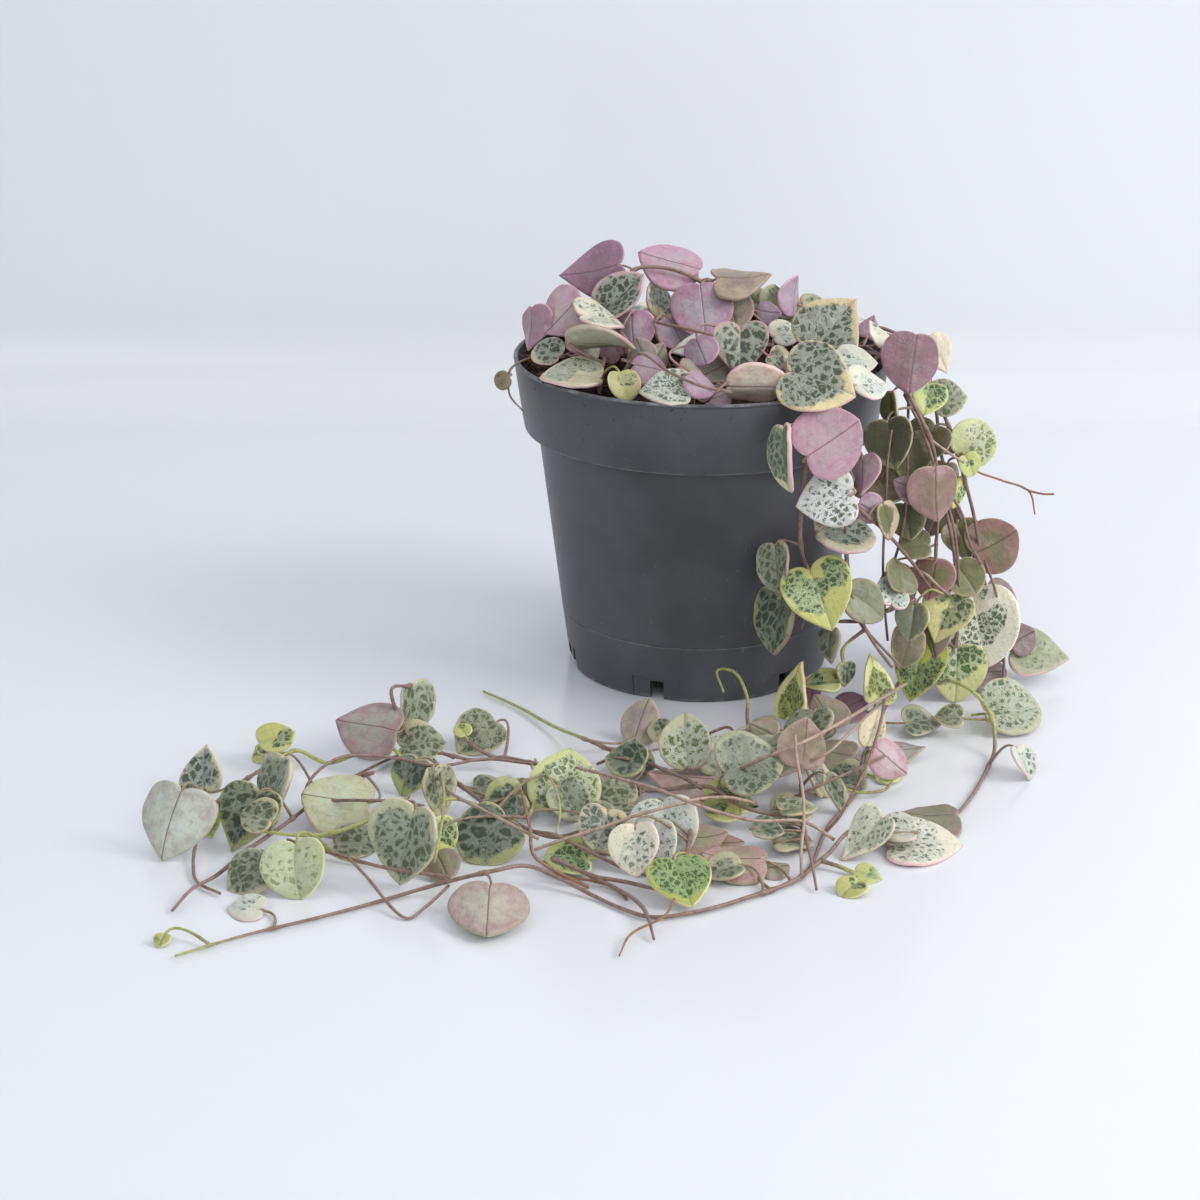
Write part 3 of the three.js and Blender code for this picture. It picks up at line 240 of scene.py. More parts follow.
        (19, -131, 2, 80, 0, 70, 10, "o"), (13, -130, 5, 100, 0, 50, 8, "o"),
    ]),
    ("trail_middle", [
        [(37, -57, 1), (30, -63, 1), (21, -79, 4), (14, -97, 6), (8, -110, 6), (-3, -115, 7),
         (-19, -124, 7), (-31, -131, 6), (-38, -134, 5), (-49, -128, 6), (-61, -110, 6), (-69, -92, 4),
         (-76, -73, 1), (-82, -76, 1), (-98, -97, 1)],
        [(14, -97, 6), (12, -82, 6), (11, -73, 7), (11, -66, 9), (11, -58, 12), (8, -51, 15), (6, -46, 16),
         (4, -48, 15), (4, -54, 14), (5, -58, 12)],
        [(-6, -116, 7), (-6, -129, 7), (-7, -142, 7), (-8, -148, 6)],
    ], [
        (-9, -158, 3, 170, 0, 45, 15, "y"), (11, -92, 6, -120, -15, 35, 18, "v"),
        (5, -105, 1, 100, 0, 55, 14, "y"), (-7, -100, 3, -85, 0, 62, 18, "wb"),
        (-5, -124, 1, 110, 0, 50, 8, "o"), (-12, -132, 6, 170, -10, 20, 16, "w"),
        (-17, -141, 6, 195, -20, 25, 15, "w"), (-28, -127, 3, -60, 0, 40, 13, "v"),
        (-36, -141, 3, -80, 0, 50, 12, "y"), (-48, -98, 1, 0, 0, 50, 8, "o"),
        (-56, -96, 0, 90, 0, 60, 10, "o"), (-56, -133, 4, -140, 0, 30, 16, "d"),
        (-69, -113, 7, 170, 55, 10, 14, "o"), (-77, -97, 4, 200, -20, 20, 11, "d"),
        (14, -81, 6, 60, 15, 35, 13, "o"), (2, -132, 2, 95, 0, 58, 10, "ob"),
        (-36, -113, 5, 150, 20, 20, 11, "o"), (3, -90, 6, 35, 25, 25, 13, "o"),
        (6, -101, 13, -10, 30, 10, 12, "o"), (10, -111, 14, 65, 10, 35, 18, "o"),
        (14, -82, 11, -60, 0, 20, 8, "ob"), (2, -116, 3, -70, 0, 60, 9, "y"),
        (-3, -132, 4, 90, 0, 50, 12, "ob"), (-20, -151, 10, 170, -30, 20, 13, "w"),
        (-28, -138, 9, 200, 10, 30, 12, "v"), (-68, -138, 6, 175, 45, 5, 12, "y"),
        (-52, -115, 6, -120, 20, 20, 11, "d"),
    ]),
    ("trail_inner", [
        [(24, -117, 1), (14, -119, 2), (5, -118, 3), (-5, -109, 3), (-17, -103, 4), (-33, -96, 5),
         (-44, -91, 5), (-51, -84, 4), (-63, -83, 3), (-71, -83, 2), (-79, -86, 1)],
        [(-48, -89, 5), (-45, -98, 5), (-45, -112, 2), (-46, -130, 1)],
        [(-56, -84, 4), (-60, -83, 6), (-63, -80, 7)],
        [(-66, -84, 3), (-72, -79, 2), (-76, -77, 4), (-78, -80, 8), (-81, -78, 13), (-83, -77, 17),
         (-84, -76, 19), (-82, -76, 21), (-80, -72, 20), (-78, -71, 19)],
    ], [
        (-26, -109, 2, -95, 0, 45, 15, "o"), (-32, -101, 3, -20, -20, 30, 8, "d"),
        (-18, -84, 3, 20, 0, 45, 11, "d"), (-37, -107, 8, 10, 10, 15, 18, "y"),
        (-55, -107, 0, -95, 0, 55, 9, "y"), (-65, -70, 6, -20, 0, 40, 5, "y"),
        (-77, -70, 13, 160, 50, 5, 13, "o"), (-89, -82, 12, -70, -10, 30, 17, "vb"),
        (-75, -79, 6, 80, 0, 30, 13, "o"), (-61, -73, 5, -140, 0, 35, 14, "o"),
        (-28, -120, 3, 120, 0, 40, 10, "o"), (-22, -92, 4, -60, -20, 30, 12, "d"),
        (-27, -103, 4, -30, 30, 25, 9, "ob"), (-48, -107, 3, 165, -20, 20, 9, "d"),
        (-66, -146, 3, 160, 0, 30, 9, "ob"), (1, -75, 4, -20, 10, 35, 9, "w"),
    ]),
    ("trail_short", [
        [(-3, -114, 7), (-6, -108, 7), (-10, -101, 7), (-14, -93, 6), (-24, -85, 6), (-32, -74, 5),
         (-41, -58, 2), (-51, -42, 1), (-61, -31, 1)],
    ], [
        (-6, -86, 7, -8, -15, 15, 17, "w"), (-12, -70, 6, -20, -20, 20, 7, "o"),
        (-17, -65, 6, 20, -10, 20, 13, "wb"),
    ]),
    ("trail_tip", [
        [(-40, -146, 1), (-26, -153, 1), (-19, -164, 1), (-17, -173, 1), (-16, -179, 1)],
        [(-29, -150, 1), (-21, -154, 1), (-15, -159, 1)],
    ], [
    ]),
    ("tendril_front", [
        [(-11, -164, 1), (-13, -172, 1), (-18, -176, 1), (-21, -178, 1), (-24, -187, 1)],
    ], [
    ]),
    ("trail_left", [
        [(-80, -91, 7.7), (-82, -85, 3), (-87, -82, 3), (-92, -81, 4), (-99, -83, 2), (-106, -81, 5),
         (-112, -90, 6), (-116, -103, 8), (-121, -113, 8), (-126, -125, 6), (-127, -131, 3),
         (-126, -144, 1), (-122, -154, 1), (-118, -156, 1)],
    ], [
        (-91, -71, 1, -80, 0, 45, 9, "y"), (-113, -80, 8, 60, 0, 40, 10, "y"),
        (-117, -76, 1, -100, 0, 40, 7, "y"), (-130, -96, 6, -10, -25, 10, 13, "v"),
        (-132, -134, 9, 195, -20, 5, 19, "vb"), (-126, -122, 3, 160, 10, 30, 8, "y"),
    ]),
    ("trail_brown", [
        [(-86, -102, 8), (-92, -99, 5), (-100, -108, 3), (-106, -124, 4), (-115, -142, 4), (-122, -151, 1),
         (-128, -165, 1)],
    ], [
        (-94, -117, 7, -85, 0, 40, 18, "wb"), (-109, -115, 9, -165, -60, 10, 18, "o"),
        (-115, -127, 6, -160, -10, 20, 17, "d"), (-112, -151, 3, -130, -10, 30, 12, "o"),
    ]),
    ("trail_olive", [
        [(-76, -138, 15), (-80, -134, 12), (-88, -129, 6), (-100, -131, 3), (-111, -133, 1)],
        [(-100, -131, 3), (-96, -135, 2), (-89, -138, 1), (-82, -141, 1)],
    ], [
        (-74, -148, 10, 195, -35, 5, 20, "o"), (-88, -129, 1, 85, 0, 50, 12, "o"),
        (-100, -153, 5, 172, -10, 25, 15, "y"), (-112, -125, 2, -60, 0, 40, 10, "o"),
    ]),
    ("crown_rear_left", [
        [(-26, 16, 80), (-26, 16, 86), (-28, 19, 91), (-34, 22, 93), (-41, 24, 92)],
        [(-28, 19, 91), (-20, 24, 94), (-12, 27, 93)],
    ], [
        (-35, 29, 95, -35, 0, 60, 14, "v"), (-44, 19, 94, -90, 0, 58, 13, "w"),
        (-41, 33, 93, -40, -20, 72, 12, "d"), (-21, 31, 95, 10, 0, 64, 14, "v"),
        (-10, 34, 94, 30, 0, 70, 13, "w"), (-27, 10, 95, -60, -20, 45, 11, "o"),
    ]),
    ("crown_rear", [
        [(-2, 24, 80), (-2, 24, 86), (-1, 28, 91), (2, 34, 92), (8, 38, 92)],
        [(-2, 26, 89), (-8, 20, 93), (-13, 18, 94)],
    ], [
        (0, 43, 94, 0, 0, 70, 14, "v"), (13, 43, 93, 40, 0, 70, 13, "w"), (10, 31, 95, 70, 0, 62, 14, "d"),
        (-14, 14, 96, -70, 0, 50, 12, "v"), (-10, 45, 92, -20, 0, 74, 12, "o"),
        (2, 17, 95, 120, 0, 60, 11, "w"),
    ]),
    ("crown_rear_right", [
        [(24, 26, 80), (24, 26, 86), (27, 28, 91), (33, 28, 93), (40, 24, 93)],
        [(24, 27, 89), (20, 34, 92), (18, 40, 92)],
    ], [
        (34, 36, 94, 30, 0, 68, 14, "v"), (44, 30, 92, 80, 10, 68, 12, "w"),
        (26, 43, 93, 10, 0, 72, 13, "d"), (38, 16, 95, 100, 10, 52, 12, "v"),
        (15, 47, 91, -30, 0, 74, 11, "w"), (21, 17, 94, -60, 0, 58, 11, "o"),
        (30, 23, 98, 60, 0, 60, 12, "y"),
    ]),
]
# thin bare stems between the strands: their tone, radius and points
looseStems = [
    ("tan", 0.42, [(-44, -145, 7), (-38, -144, 9), (-28, -141, 11), (-19, -138, 13), (-11, -135, 14),
        (-4, -131, 14), (3, -128, 13), (10, -125, 10)]),
    ("tan", 0.44, [(-34, -108, 12), (-28, -116, 14), (-21, -123, 15), (-14, -130, 16), (-7, -137, 16),
        (1, -139, 14), (9, -137, 11), (21, -131, 8), (25, -131, 6), (29, -131, 3)]),
    ("tan", 0.46, [(7, -113, 14), (13, -117, 19), (21, -116, 22), (32, -103, 22), (41, -87, 20),
        (55, -52, 12)]),
    ("tan", 0.36, [(22, -106, 12), (28, -109, 16), (35, -100, 18), (42, -84, 17), (49, -66, 14)]),
    ("brown", 0.40, [(48, -66, 16), (42, -101, 18), (38, -113, 14), (34, -119, 9), (31, -122, 5),
        (27, -124, 1)]),
    ("brown", 0.40, [(20, -111, 5), (24, -117, 10), (31, -114, 12), (39, -106, 12), (50, -86, 8)]),
    ("brown", 0.36, [(10, -115, 10), (16, -114, 12), (22, -110, 13), (26, -103, 14)]),
    ("tan", 0.40, [(20, -115, 24), (20, -123, 21), (21, -130, 16), (21, -137, 11), (20, -143, 6),
        (20, -147, 1)]),
    ("brown", 0.40, [(-21, -96, 9), (-25, -93, 8), (-29, -90, 5)]),
    ("brown", 0.42, [(-2, -82, 9), (1, -83, 11), (5, -82, 12), (7, -87, 12), (10, -89, 11), (14, -84, 9)]),
    ("dry", 0.34, [(-42, -141, 2), (-38, -146, 1), (-31, -149, 1), (-25, -152, 0.6), (-22, -158, 0.5)]),
    ("brown", 0.50, [(-44, -139, 9), (-39, -143, 10), (-34, -144, 8), (-28, -147, 6), (-22, -149, 4),
        (-16, -149, 2)]),
    ("young", 0.30, [(-45, -96, 9), (-39, -124, 13), (-38, -134, 11), (-39, -139, 8)]),
    ("young", 0.40, [(34, -101, 3), (38, -101, 2), (44, -100, 2), (47, -95, 2)]),
    ("mauve", 0.42, [(-103, -111, 4), (-102, -110, 8), (-99, -104, 10), (-94, -99, 11), (-87, -96, 10),
        (-79, -96, 9), (-70, -98, 8), (-58, -89, 6), (-46, -92, 6)]),
    ("brown", 0.44, [(-103, -112, 4), (-96, -117, 7), (-87, -121, 9), (-78, -122, 9), (-72, -120, 7)]),
    ("brown", 0.44, [(-105, -129, 2), (-97, -140, 5), (-87, -150, 7), (-80, -154, 7), (-72, -153, 5),
        (-64, -151, 3)]),
    ("young", 0.46, [(-97, -136, 6), (-88, -136, 9), (-80, -129, 10), (-76, -117, 8)]),
    ("tan", 0.44, [(-71, -100, 9), (-65, -125, 13), (-56, -138, 14), (-49, -142, 12), (-43, -143, 9)]),
    ("mauve", 0.38, [(-88, -151, 8), (-84, -154, 5), (-73, -168, 0.6), (-69, -164, 1.5), (-64, -156, 3)]),
    ("young", 0.36, [(-69, -102, 10), (-66, -134, 15), (-66, -153, 15), (-67, -160, 11)]),
    ("dry", 0.42, [(-48, -113, 8), (-45, -144, 12), (-44, -150, 8), (-38, -149, 3), (-31, -152, 0.6)]),
    ("tan", 0.40, [(55, -20, 85), (57, -27, 81), (61, -30, 75), (66, -30, 71), (71, -27, 67)]),
    ("mauve", 0.42, [(55, -21, 85), (59, -29, 77), (62, -32, 69), (64, -33, 61), (64, -33, 51),
        (64, -32, 42)]),
    ("mauve", 0.42, [(55, -20, 84), (59, -28, 77), (62, -31, 69), (65, -32, 61), (68, -32, 52),
        (70, -31, 42), (71, -31, 31)]),
    ("mauve", 0.42, [(55, -19, 84), (59, -27, 77), (63, -30, 68), (67, -31, 60), (71, -31, 53),
        (73, -30, 46), (77, -28, 38)]),
    ("brown", 0.40, [(56, -21, 82), (55, -31, 75), (55, -33, 64), (55, -33, 55), (54, -32, 46),
        (53, -30, 40)]),
    ("brown", 0.36, [(50, -36, 79), (49, -38, 71), (49, -38, 63), (49, -37, 54), (49, -37, 41),
        (50, -37, 28), (51, -38, 19)]),
    ("mauve", 0.44, [(37, -51, 72), (37, -53, 65), (37, -53, 54), (38, -53, 42), (41, -53, 33),
        (45, -53, 25), (51, -50, 16)]),
    ("brown", 0.46, [(36, -52, 30), (43, -49, 29), (48, -45, 30), (54, -40, 30)]),
    ("mauve", 0.36, [(79, -22, 37), (82, -24, 29), (84, -26, 21), (85, -27, 13), (85, -29, 0.6)]),
    ("dry", 0.32, [(90, -12, 55), (92, -12, 54), (96, -12, 53), (99, -12, 53)]),
    ("tan", 0.40, [(72, -26, 28), (74, -28, 32), (76, -28, 35), (77, -26, 38)]),
    ("young", 0.36, [(56, -34, 18), (59, -38, 31), (62, -38, 34), (66, -36, 32)]),
    ("tan", 0.42, [(57, -34, 39), (61, -37, 38), (64, -37, 35), (68, -34, 31)]),
    ("mauve", 0.42, [(-25, -26, 86), (-18, -36, 100), (-10, -47, 98), (-2, -53, 96), (6, -52, 94)]),
    ("brown", 0.42, [(-13, -18, 104), (-6, -24, 104), (2, -28, 103)]),
    ("mauve", 0.45, [(-6, -14, 82), (-12, -14, 98), (-13, -10, 102), (-11, -7, 104)]),
    ("mauve", 0.34, [(0, -30, 84), (2, -55, 95), (5, -49, 96)]),
]


# a colour of 0 to 255 as light, for a material
def tone(red, green, blue):
    channels = [c / 255 for c in (red, green, blue)]
    return tuple(c / 12.92 if c < 0.04 else ((c + 0.055) / 1.055) ** 2.4 for c in channels) + (1.0,)


def lerp(a, b, share):
    return a + (b - a) * share


def ease(low, high, value):
    share = min(1, max(0, (value - low) / (high - low)))
    return share * share * (3 - 2 * share)


def blendTone(a, b, share):
    return tuple(lerp(p, q, share) for p, q in zip(a, b))


def addPiece(name, points, faces, material, marks=None, smooth=True):
    mesh = bpy.data.meshes.new(name)
    mesh.from_pydata([tuple(p) for p in points], [], faces)
    mesh.polygons.foreach_set("use_smooth", [smooth] * len(mesh.polygons))
    for key, values in (marks or {}).items():
        width = len(values[0]) if isinstance(values[0], tuple) else 1
        kind = {1: "FLOAT", 3: "FLOAT_VECTOR", 4: "FLOAT_COLOR"}[width]
        layer = mesh.attributes.new(key, kind, "POINT")
        flat = values if width == 1 else [c for v in values for c in v]
        layer.data.foreach_set({1: "value", 3: "vector", 4: "color"}[width], flat)
    mesh.materials.append(material)
    piece = bpy.data.objects.new(name, mesh)
    scene.collection.objects.link(piece)
    return piece


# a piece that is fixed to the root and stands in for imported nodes
def rideOn(piece, slot, *nodes):
    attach(piece, "root")
    if nodes:
        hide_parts(*nodes)
    return piece


# links what is a socket to a node and sets what is a value
def feed(tree, node, values):
    for key, value in values.items():
        if isinstance(value, bpy.types.NodeSocket):
            tree.links.new(value, node.inputs[key])
        else:
            node.inputs[key].default_value = value
    return node


def makeNode(tree, kind, inputs=None, **settings):
    made = tree.nodes.new(kind)
    for key, value in settings.items():
        setattr(made, key, value)
    return feed(tree, made, inputs or {})


def calc(tree, operation, a, b=0.0, c=0.0):
    return makeNode(tree, "ShaderNodeMath", {0: a, 1: b, 2: c}, operation=operation).outputs[0]


def plus(tree, a, b):
    return calc(tree, "ADD", a, b)


def minus(tree, a, b):
    return calc(tree, "SUBTRACT", a, b)


def times(tree, a, b):
    return calc(tree, "MULTIPLY", a, b)


def ramp(tree, value, low, high, start=0.0, end=1.0):
    inputs = {"Value": value, "From Min": low, "From Max": high, "To Min": start, "To Max": end}
    return makeNode(tree, "ShaderNodeMapRange", inputs, interpolation_type="SMOOTHSTEP").outputs[0]


def mixTone(tree, share, a, b, mode="MIX"):
    inputs = {0: share, 6: a, 7: b}
    return makeNode(tree, "ShaderNodeMix", inputs, data_type="RGBA", blend_type=mode).outputs[2]


def grain(tree, vector, scale, detail=3.0, rough=0.55):
    inputs = {"Vector": vector, "Scale": scale, "Detail": detail, "Roughness": rough}
    return makeNode(tree, "ShaderNodeTexNoise", inputs).outputs["Fac"]


def readMark(tree, name, output="Fac"):
    return makeNode(tree, "ShaderNodeAttribute", attribute_name=name).outputs[output]


def startMaterial(name):
    material = bpy.data.materials.new(name)
    material.use_nodes = True
    tree = material.node_tree
    tree.nodes.clear()
    shader = tree.nodes.new("ShaderNodeBsdfPrincipled")
    output = tree.nodes.new("ShaderNodeOutputMaterial")
    tree.links.new(shader.outputs[0], output.inputs["Surface"])
    return material, tree, shader


def bumpOn(tree, shader, height, strength, distance):
    bump = makeNode(tree, "ShaderNodeBump", {"Height": height, "Strength": strength, "Distance": distance})
    feed(tree, shader, {"Normal": bump.outputs[0]})


def around(radius, angle, z):
    return Vector((radius * math.cos(angle), radius * math.sin(angle), z))


def ringOf(radius, z, sides):
    return [around(radius, 2 * math.pi * k / sides, z) * mm for k in range(sides)]


# inputs as name: (kind, value), outputs as name: kind
def startGroup(name, inputs, outputs):
    group = bpy.data.node_groups.new(name, "ShaderNodeTree")
    for key, (kind, value) in inputs.items():
        socket = group.interface.new_socket(key, in_out="INPUT", socket_type="NodeSocket" + kind)
        if value is not None:
            socket.default_value = value
    for key, kind in outputs.items():
        group.interface.new_socket(key, in_out="OUTPUT", socket_type="NodeSocket" + kind)
    return group, group.nodes.new("NodeGroupInput").outputs, group.nodes.new("NodeGroupOutput").inputs


def useGroup(tree, group, **values):
    return makeNode(tree, "ShaderNodeGroup", values, node_tree=group).outputs


# irregular blotches of 0 to 1, as small dirt, scuffs or mottling
def makeMottle():
    group, given, out = startGroup(
        "mottle",
        {"Vector": ("Vector", None), "Scale": ("Float", 300.0), "Low": ("Float", 0.45),
         "High": ("Float", 0.6)},
        {"Mask": "Float"},
    )
    field = grain(group, given["Vector"], given["Scale"], 4.0, 0.6)
    group.links.new(ramp(group, field, given["Low"], given["High"]), out["Mask"])
    return group


mottle = makeMottle()


leafFinish = {
    "cellWide": 1.7,        # mm between the net's lines, across and along the leaf
    "cellLong": 2.1,
    "netTurn": 38,          # degrees that the net slants from the midrib
    "wander": 0.75,         # mm that the net strays
    "fray": 0.42,           # mm that the islands' edges stray
    "rimWidth": 0.27,       # mm, and the next two
    "ribWidth": 0.17,
    "sideVeinGap": 3.2,
    "roughness": 0.36,
    "gloss": 0.42,
    "bump": 0.6,
    "bumpHeight": 0.0002,   # metres
    "throughLight": 0.14,   # share of light that passes into the blade
    "throughDepth": 0.0012,  # metres
}


def vectorCalc(tree, operation, a, b=None, scale=None):
    inputs = {0: a}
    if b is not None:
        inputs[1] = b
    if scale is not None:
        inputs["Scale"] = scale
    return makeNode(tree, "ShaderNodeVectorMath", inputs, operation=operation).outputs[0]


def stretched(tree, vector, wide, long):
    return vectorCalc(tree, "MULTIPLY", vector, (wide, long, 1.0))


# the green islands between the net's pale lines, 0 to 1, and how far inside a cell a point is
def leafIslands(tree, bent, fine, patch):
    angle = math.radians(leafFinish["netTurn"])
    turned = makeNode(tree, "ShaderNodeVectorRotate", {"Vector": bent, "Angle": angle}).outputs[0]
    cells = stretched(tree, turned, 1 / leafFinish["cellWide"], 1 / leafFinish["cellLong"])
    cells = vectorCalc(tree, "SCALE", cells, scale=readMark(tree, "coarse"))
    inputs = {"Vector": cells, "Scale": 1.0, "Randomness": 0.8}
    inside = makeNode(tree, "ShaderNodeTexVoronoi", inputs, feature="DISTANCE_TO_EDGE").outputs["Distance"]
    broken = times(tree, minus(tree, fine, 0.5), readMark(tree, "speckle"))
    spread = times(tree, minus(tree, patch, 0.5), 0.55)
    field = plus(tree, plus(tree, inside, broken), spread)
    field = minus(tree, field, readMark(tree, "cover"))
    return ramp(tree, field, -0.05, 0.11), inside


def upperFace(tree, across, along, away, inset, seed, place, bent):
    fine = grain(tree, bent, 2.1, 3.0, 0.6)
    patch = grain(tree, place, 0.24, 2.0)
    island, inside = leafIslands(tree, bent, fine, patch)
    net, green = readMark(tree, "netTone", "Color"), readMark(tree, "islandTone", "Color")
    ground = mixTone(tree, ramp(tree, grain(tree, bent, 0.7, 3.0), 0.35, 0.7, 0.0, 0.3), net, green)
    core = times(tree, ramp(tree, inside, 0.26, 0.5, 0.0, 0.5), ramp(tree, fine, 0.42, 0.6))
    middle = mixTone(tree, core, green, net)
    face = mixTone(tree, island, ground, middle)
    # the pale margin: wide on one side, narrow on the other, its inner edge wandering
    spot = makeNode(tree, "ShaderNodeCombineXYZ", {0: across, 1: along, 2: seed}).outputs[0]
    turn = minus(tree, calc(tree, "ARCTAN2", along, across), readMark(tree, "wideSide"))
    side = calc(tree, "MULTIPLY_ADD", calc(tree, "COSINE", turn), 0.14, grain(tree, spot, 0.1, 1.0))
    reach = times(tree, readMark(tree, "margin"), ramp(tree, side, 0.4, 0.72, 0.2, 2.6))
    stray = times(tree, minus(tree, grain(tree, bent, 0.55, 3.0, 0.6), 0.5), 3.4)
    border = minus(tree, plus(tree, inset, stray), reach)
    pale = ramp(tree, border, -0.35, 0.75, 1.0, 0.0)
    edge = readMark(tree, "marginTone", "Color")
    tinted = mixTone(tree, ramp(tree, grain(tree, bent, 0.5, 2.0), 0.5, 0.8, 0.0, 0.4), edge, net)
    dots = times(tree, island, ramp(tree, fine, 0.58, 0.66, 0.0, 0.45))
    tinted = mixTone(tree, dots, tinted, green)
    face = mixTone(tree, pale, face, tinted)
    rib = ramp(tree, away, 0.5 * leafFinish["ribWidth"], 1.8 * leafFinish["ribWidth"], 0.6, 0.0)
    return mixTone(tree, rib, face, net), island, fine


def underFace(tree, place, bent, away, along, depth, streak):
    cloud = grain(tree, place, 0.26, 3.0)
    spread = calc(tree, "MULTIPLY_ADD", minus(tree, cloud, 0.5), 2.2, depth)
    tint = ramp(tree, spread, 0.0, 0.75)
    shade, middle = readMark(tree, "underShade", "Color"), readMark(tree, "underTone", "Color")
    face = mixTone(tree, tint, shade, middle)
    deep = mixTone(tree, 1.0, shade, (0.7, 0.52, 0.64, 1), "MULTIPLY")
    blotch = calc(tree, "MULTIPLY_ADD", depth, -0.1, grain(tree, place, 0.42, 3.0, 0.6))
    face = mixTone(tree, ramp(tree, blotch, 0.4, 0.68, 0.0, 0.42), face, deep)
    dark = mixTone(tree, 1.0, face, (0.66, 0.64, 0.62, 1), "MULTIPLY")
    fleck = ramp(tree, grain(tree, bent, 1.6, 4.0, 0.65), 0.6, 0.76, 0.0, 0.25)
    face = mixTone(tree, calc(tree, "MAXIMUM", fleck, ramp(tree, streak, 0.5, 0.8, 0.0, 0.14)), face, dark)
    slant = minus(tree, along, times(tree, away, 0.75))
    phase = calc(tree, "FRACT", calc(tree, "DIVIDE", slant, leafFinish["sideVeinGap"]))
    vein = ramp(tree, calc(tree, "ABSOLUTE", minus(tree, phase, 0.5)), 0.0, 0.06, 0.13, 0.0)
    rib = ramp(tree, away, 0.4 * leafFinish["ribWidth"], 1.5 * leafFinish["ribWidth"], 0.75, 0.0)
    return mixTone(tree, calc(tree, "MAXIMUM", vein, rib), face, readMark(tree, "ribTone", "Color"))


def makeLeafMaterial():
    material, tree, shader = startMaterial("leafSkin")
    across = readMark(tree, "across")          # mm from the midrib, signed
    along = readMark(tree, "along")            # mm from the middle, to the tip
    inset = readMark(tree, "inset")            # mm in from the edge
    upper = readMark(tree, "upper")            # 1 on the upper face
    depth = readMark(tree, "depth")            # 0 at the edge, 1 in the middle
    seed = readMark(tree, "seed")
    away = calc(tree, "ABSOLUTE", across)
    offset = calc(tree, "MULTIPLY_ADD", calc(tree, "SIGN", across), 3.7, seed)
    place = makeNode(tree, "ShaderNodeCombineXYZ", {0: away, 1: along, 2: offset}).outputs[0]
    strayInputs = {"Vector": place, "Scale": 0.5, "Detail": 2.0}
    stray = makeNode(tree, "ShaderNodeTexNoise", strayInputs).outputs["Color"]
    centred = vectorCalc(tree, "SUBTRACT", stray, (0.5, 0.5, 0.5))
    bent = vectorCalc(tree, "ADD", place, vectorCalc(tree, "SCALE", centred, scale=2 * leafFinish["wander"]))
    fineInputs = {"Vector": place, "Scale": 2.2, "Detail": 2.0}
    frayed = makeNode(tree, "ShaderNodeTexNoise", fineInputs).outputs["Color"]
    frayed = vectorCalc(tree, "SUBTRACT", frayed, (0.5, 0.5, 0.5))
    bent = vectorCalc(tree, "ADD", bent, vectorCalc(tree, "SCALE", frayed, scale=2 * leafFinish["fray"]))
    streak = grain(tree, stretched(tree, bent, 2.2, 0.22), 1.0, 3.0)
    face, island, fine = upperFace(tree, across, along, away, inset, seed, place, bent)
    under = underFace(tree, place, bent, away, along, depth, streak)
    colour = mixTone(tree, ramp(tree, upper, 0.45, 0.6), under, face)
    dim = mixTone(tree, 1.0, colour, (0.9, 0.9, 0.88, 1), "MULTIPLY")
    colour = mixTone(tree, ramp(tree, streak, 0.44, 0.7), colour, dim)
    rimPart = ramp(tree, grain(tree, place, 0.16, 1.0), 0.36, 0.64, 0.2, 0.9)
    rim = ramp(tree, inset, 0.3 * leafFinish["rimWidth"], 1.5 * leafFinish["rimWidth"], 1.0, 0.0)
    colour = mixTone(tree, times(tree, rim, rimPart), colour, readMark(tree, "rimTone", "Color"))
    rough = calc(tree, "MULTIPLY_ADD", fine, 0.2, leafFinish["roughness"] - 0.1)
    groove = ramp(tree, away, 0.0, 0.5, -1.0, 0.0)
    height = plus(tree, groove, times(tree, fine, 0.5))
    height = calc(tree, "MULTIPLY_ADD", island, -0.3, height)
    height = calc(tree, "MULTIPLY_ADD", grain(tree, place, 0.35, 2.0), 3.2, height)
    bumpOn(tree, shader, height, leafFinish["bump"], leafFinish["bumpHeight"])
    feed(tree, shader, {
        "Base Color": colour, "Roughness": rough, "Specular IOR Level": leafFinish["gloss"],
        "Subsurface Weight": leafFinish["throughLight"], "Subsurface Radius": (1.0, 0.9, 0.5),
        "Subsurface Scale": leafFinish["throughDepth"],
    })
    return material


stemFinish = {"roughness": 0.4, "gloss": 0.5, "streakScale": 700.0, "bump": 0.4, "bumpHeight": 0.0001}


def makeStemMaterial():
    material, tree, shader = startMaterial("stemSkin")
    place = makeNode(tree, "ShaderNodeNewGeometry").outputs["Position"]
    base = readMark(tree, "skin", "Color")
    streak = grain(tree, place, stemFinish["streakScale"], 3.0)
    shade = mixTone(tree, 1.0, base, (0.66, 0.62, 0.6, 1), "MULTIPLY")
    colour = mixTone(tree, ramp(tree, streak, 0.42, 0.7), base, shade)
    bumpOn(tree, shader, streak, stemFinish["bump"], stemFinish["bumpHeight"])
    feed(tree, shader, {"Base Color": colour, "Roughness": stemFinish["roughness"],
                        "Specular IOR Level": stemFinish["gloss"]})
    return material


leafSkin = makeLeafMaterial()
stemSkin = makeStemMaterial()


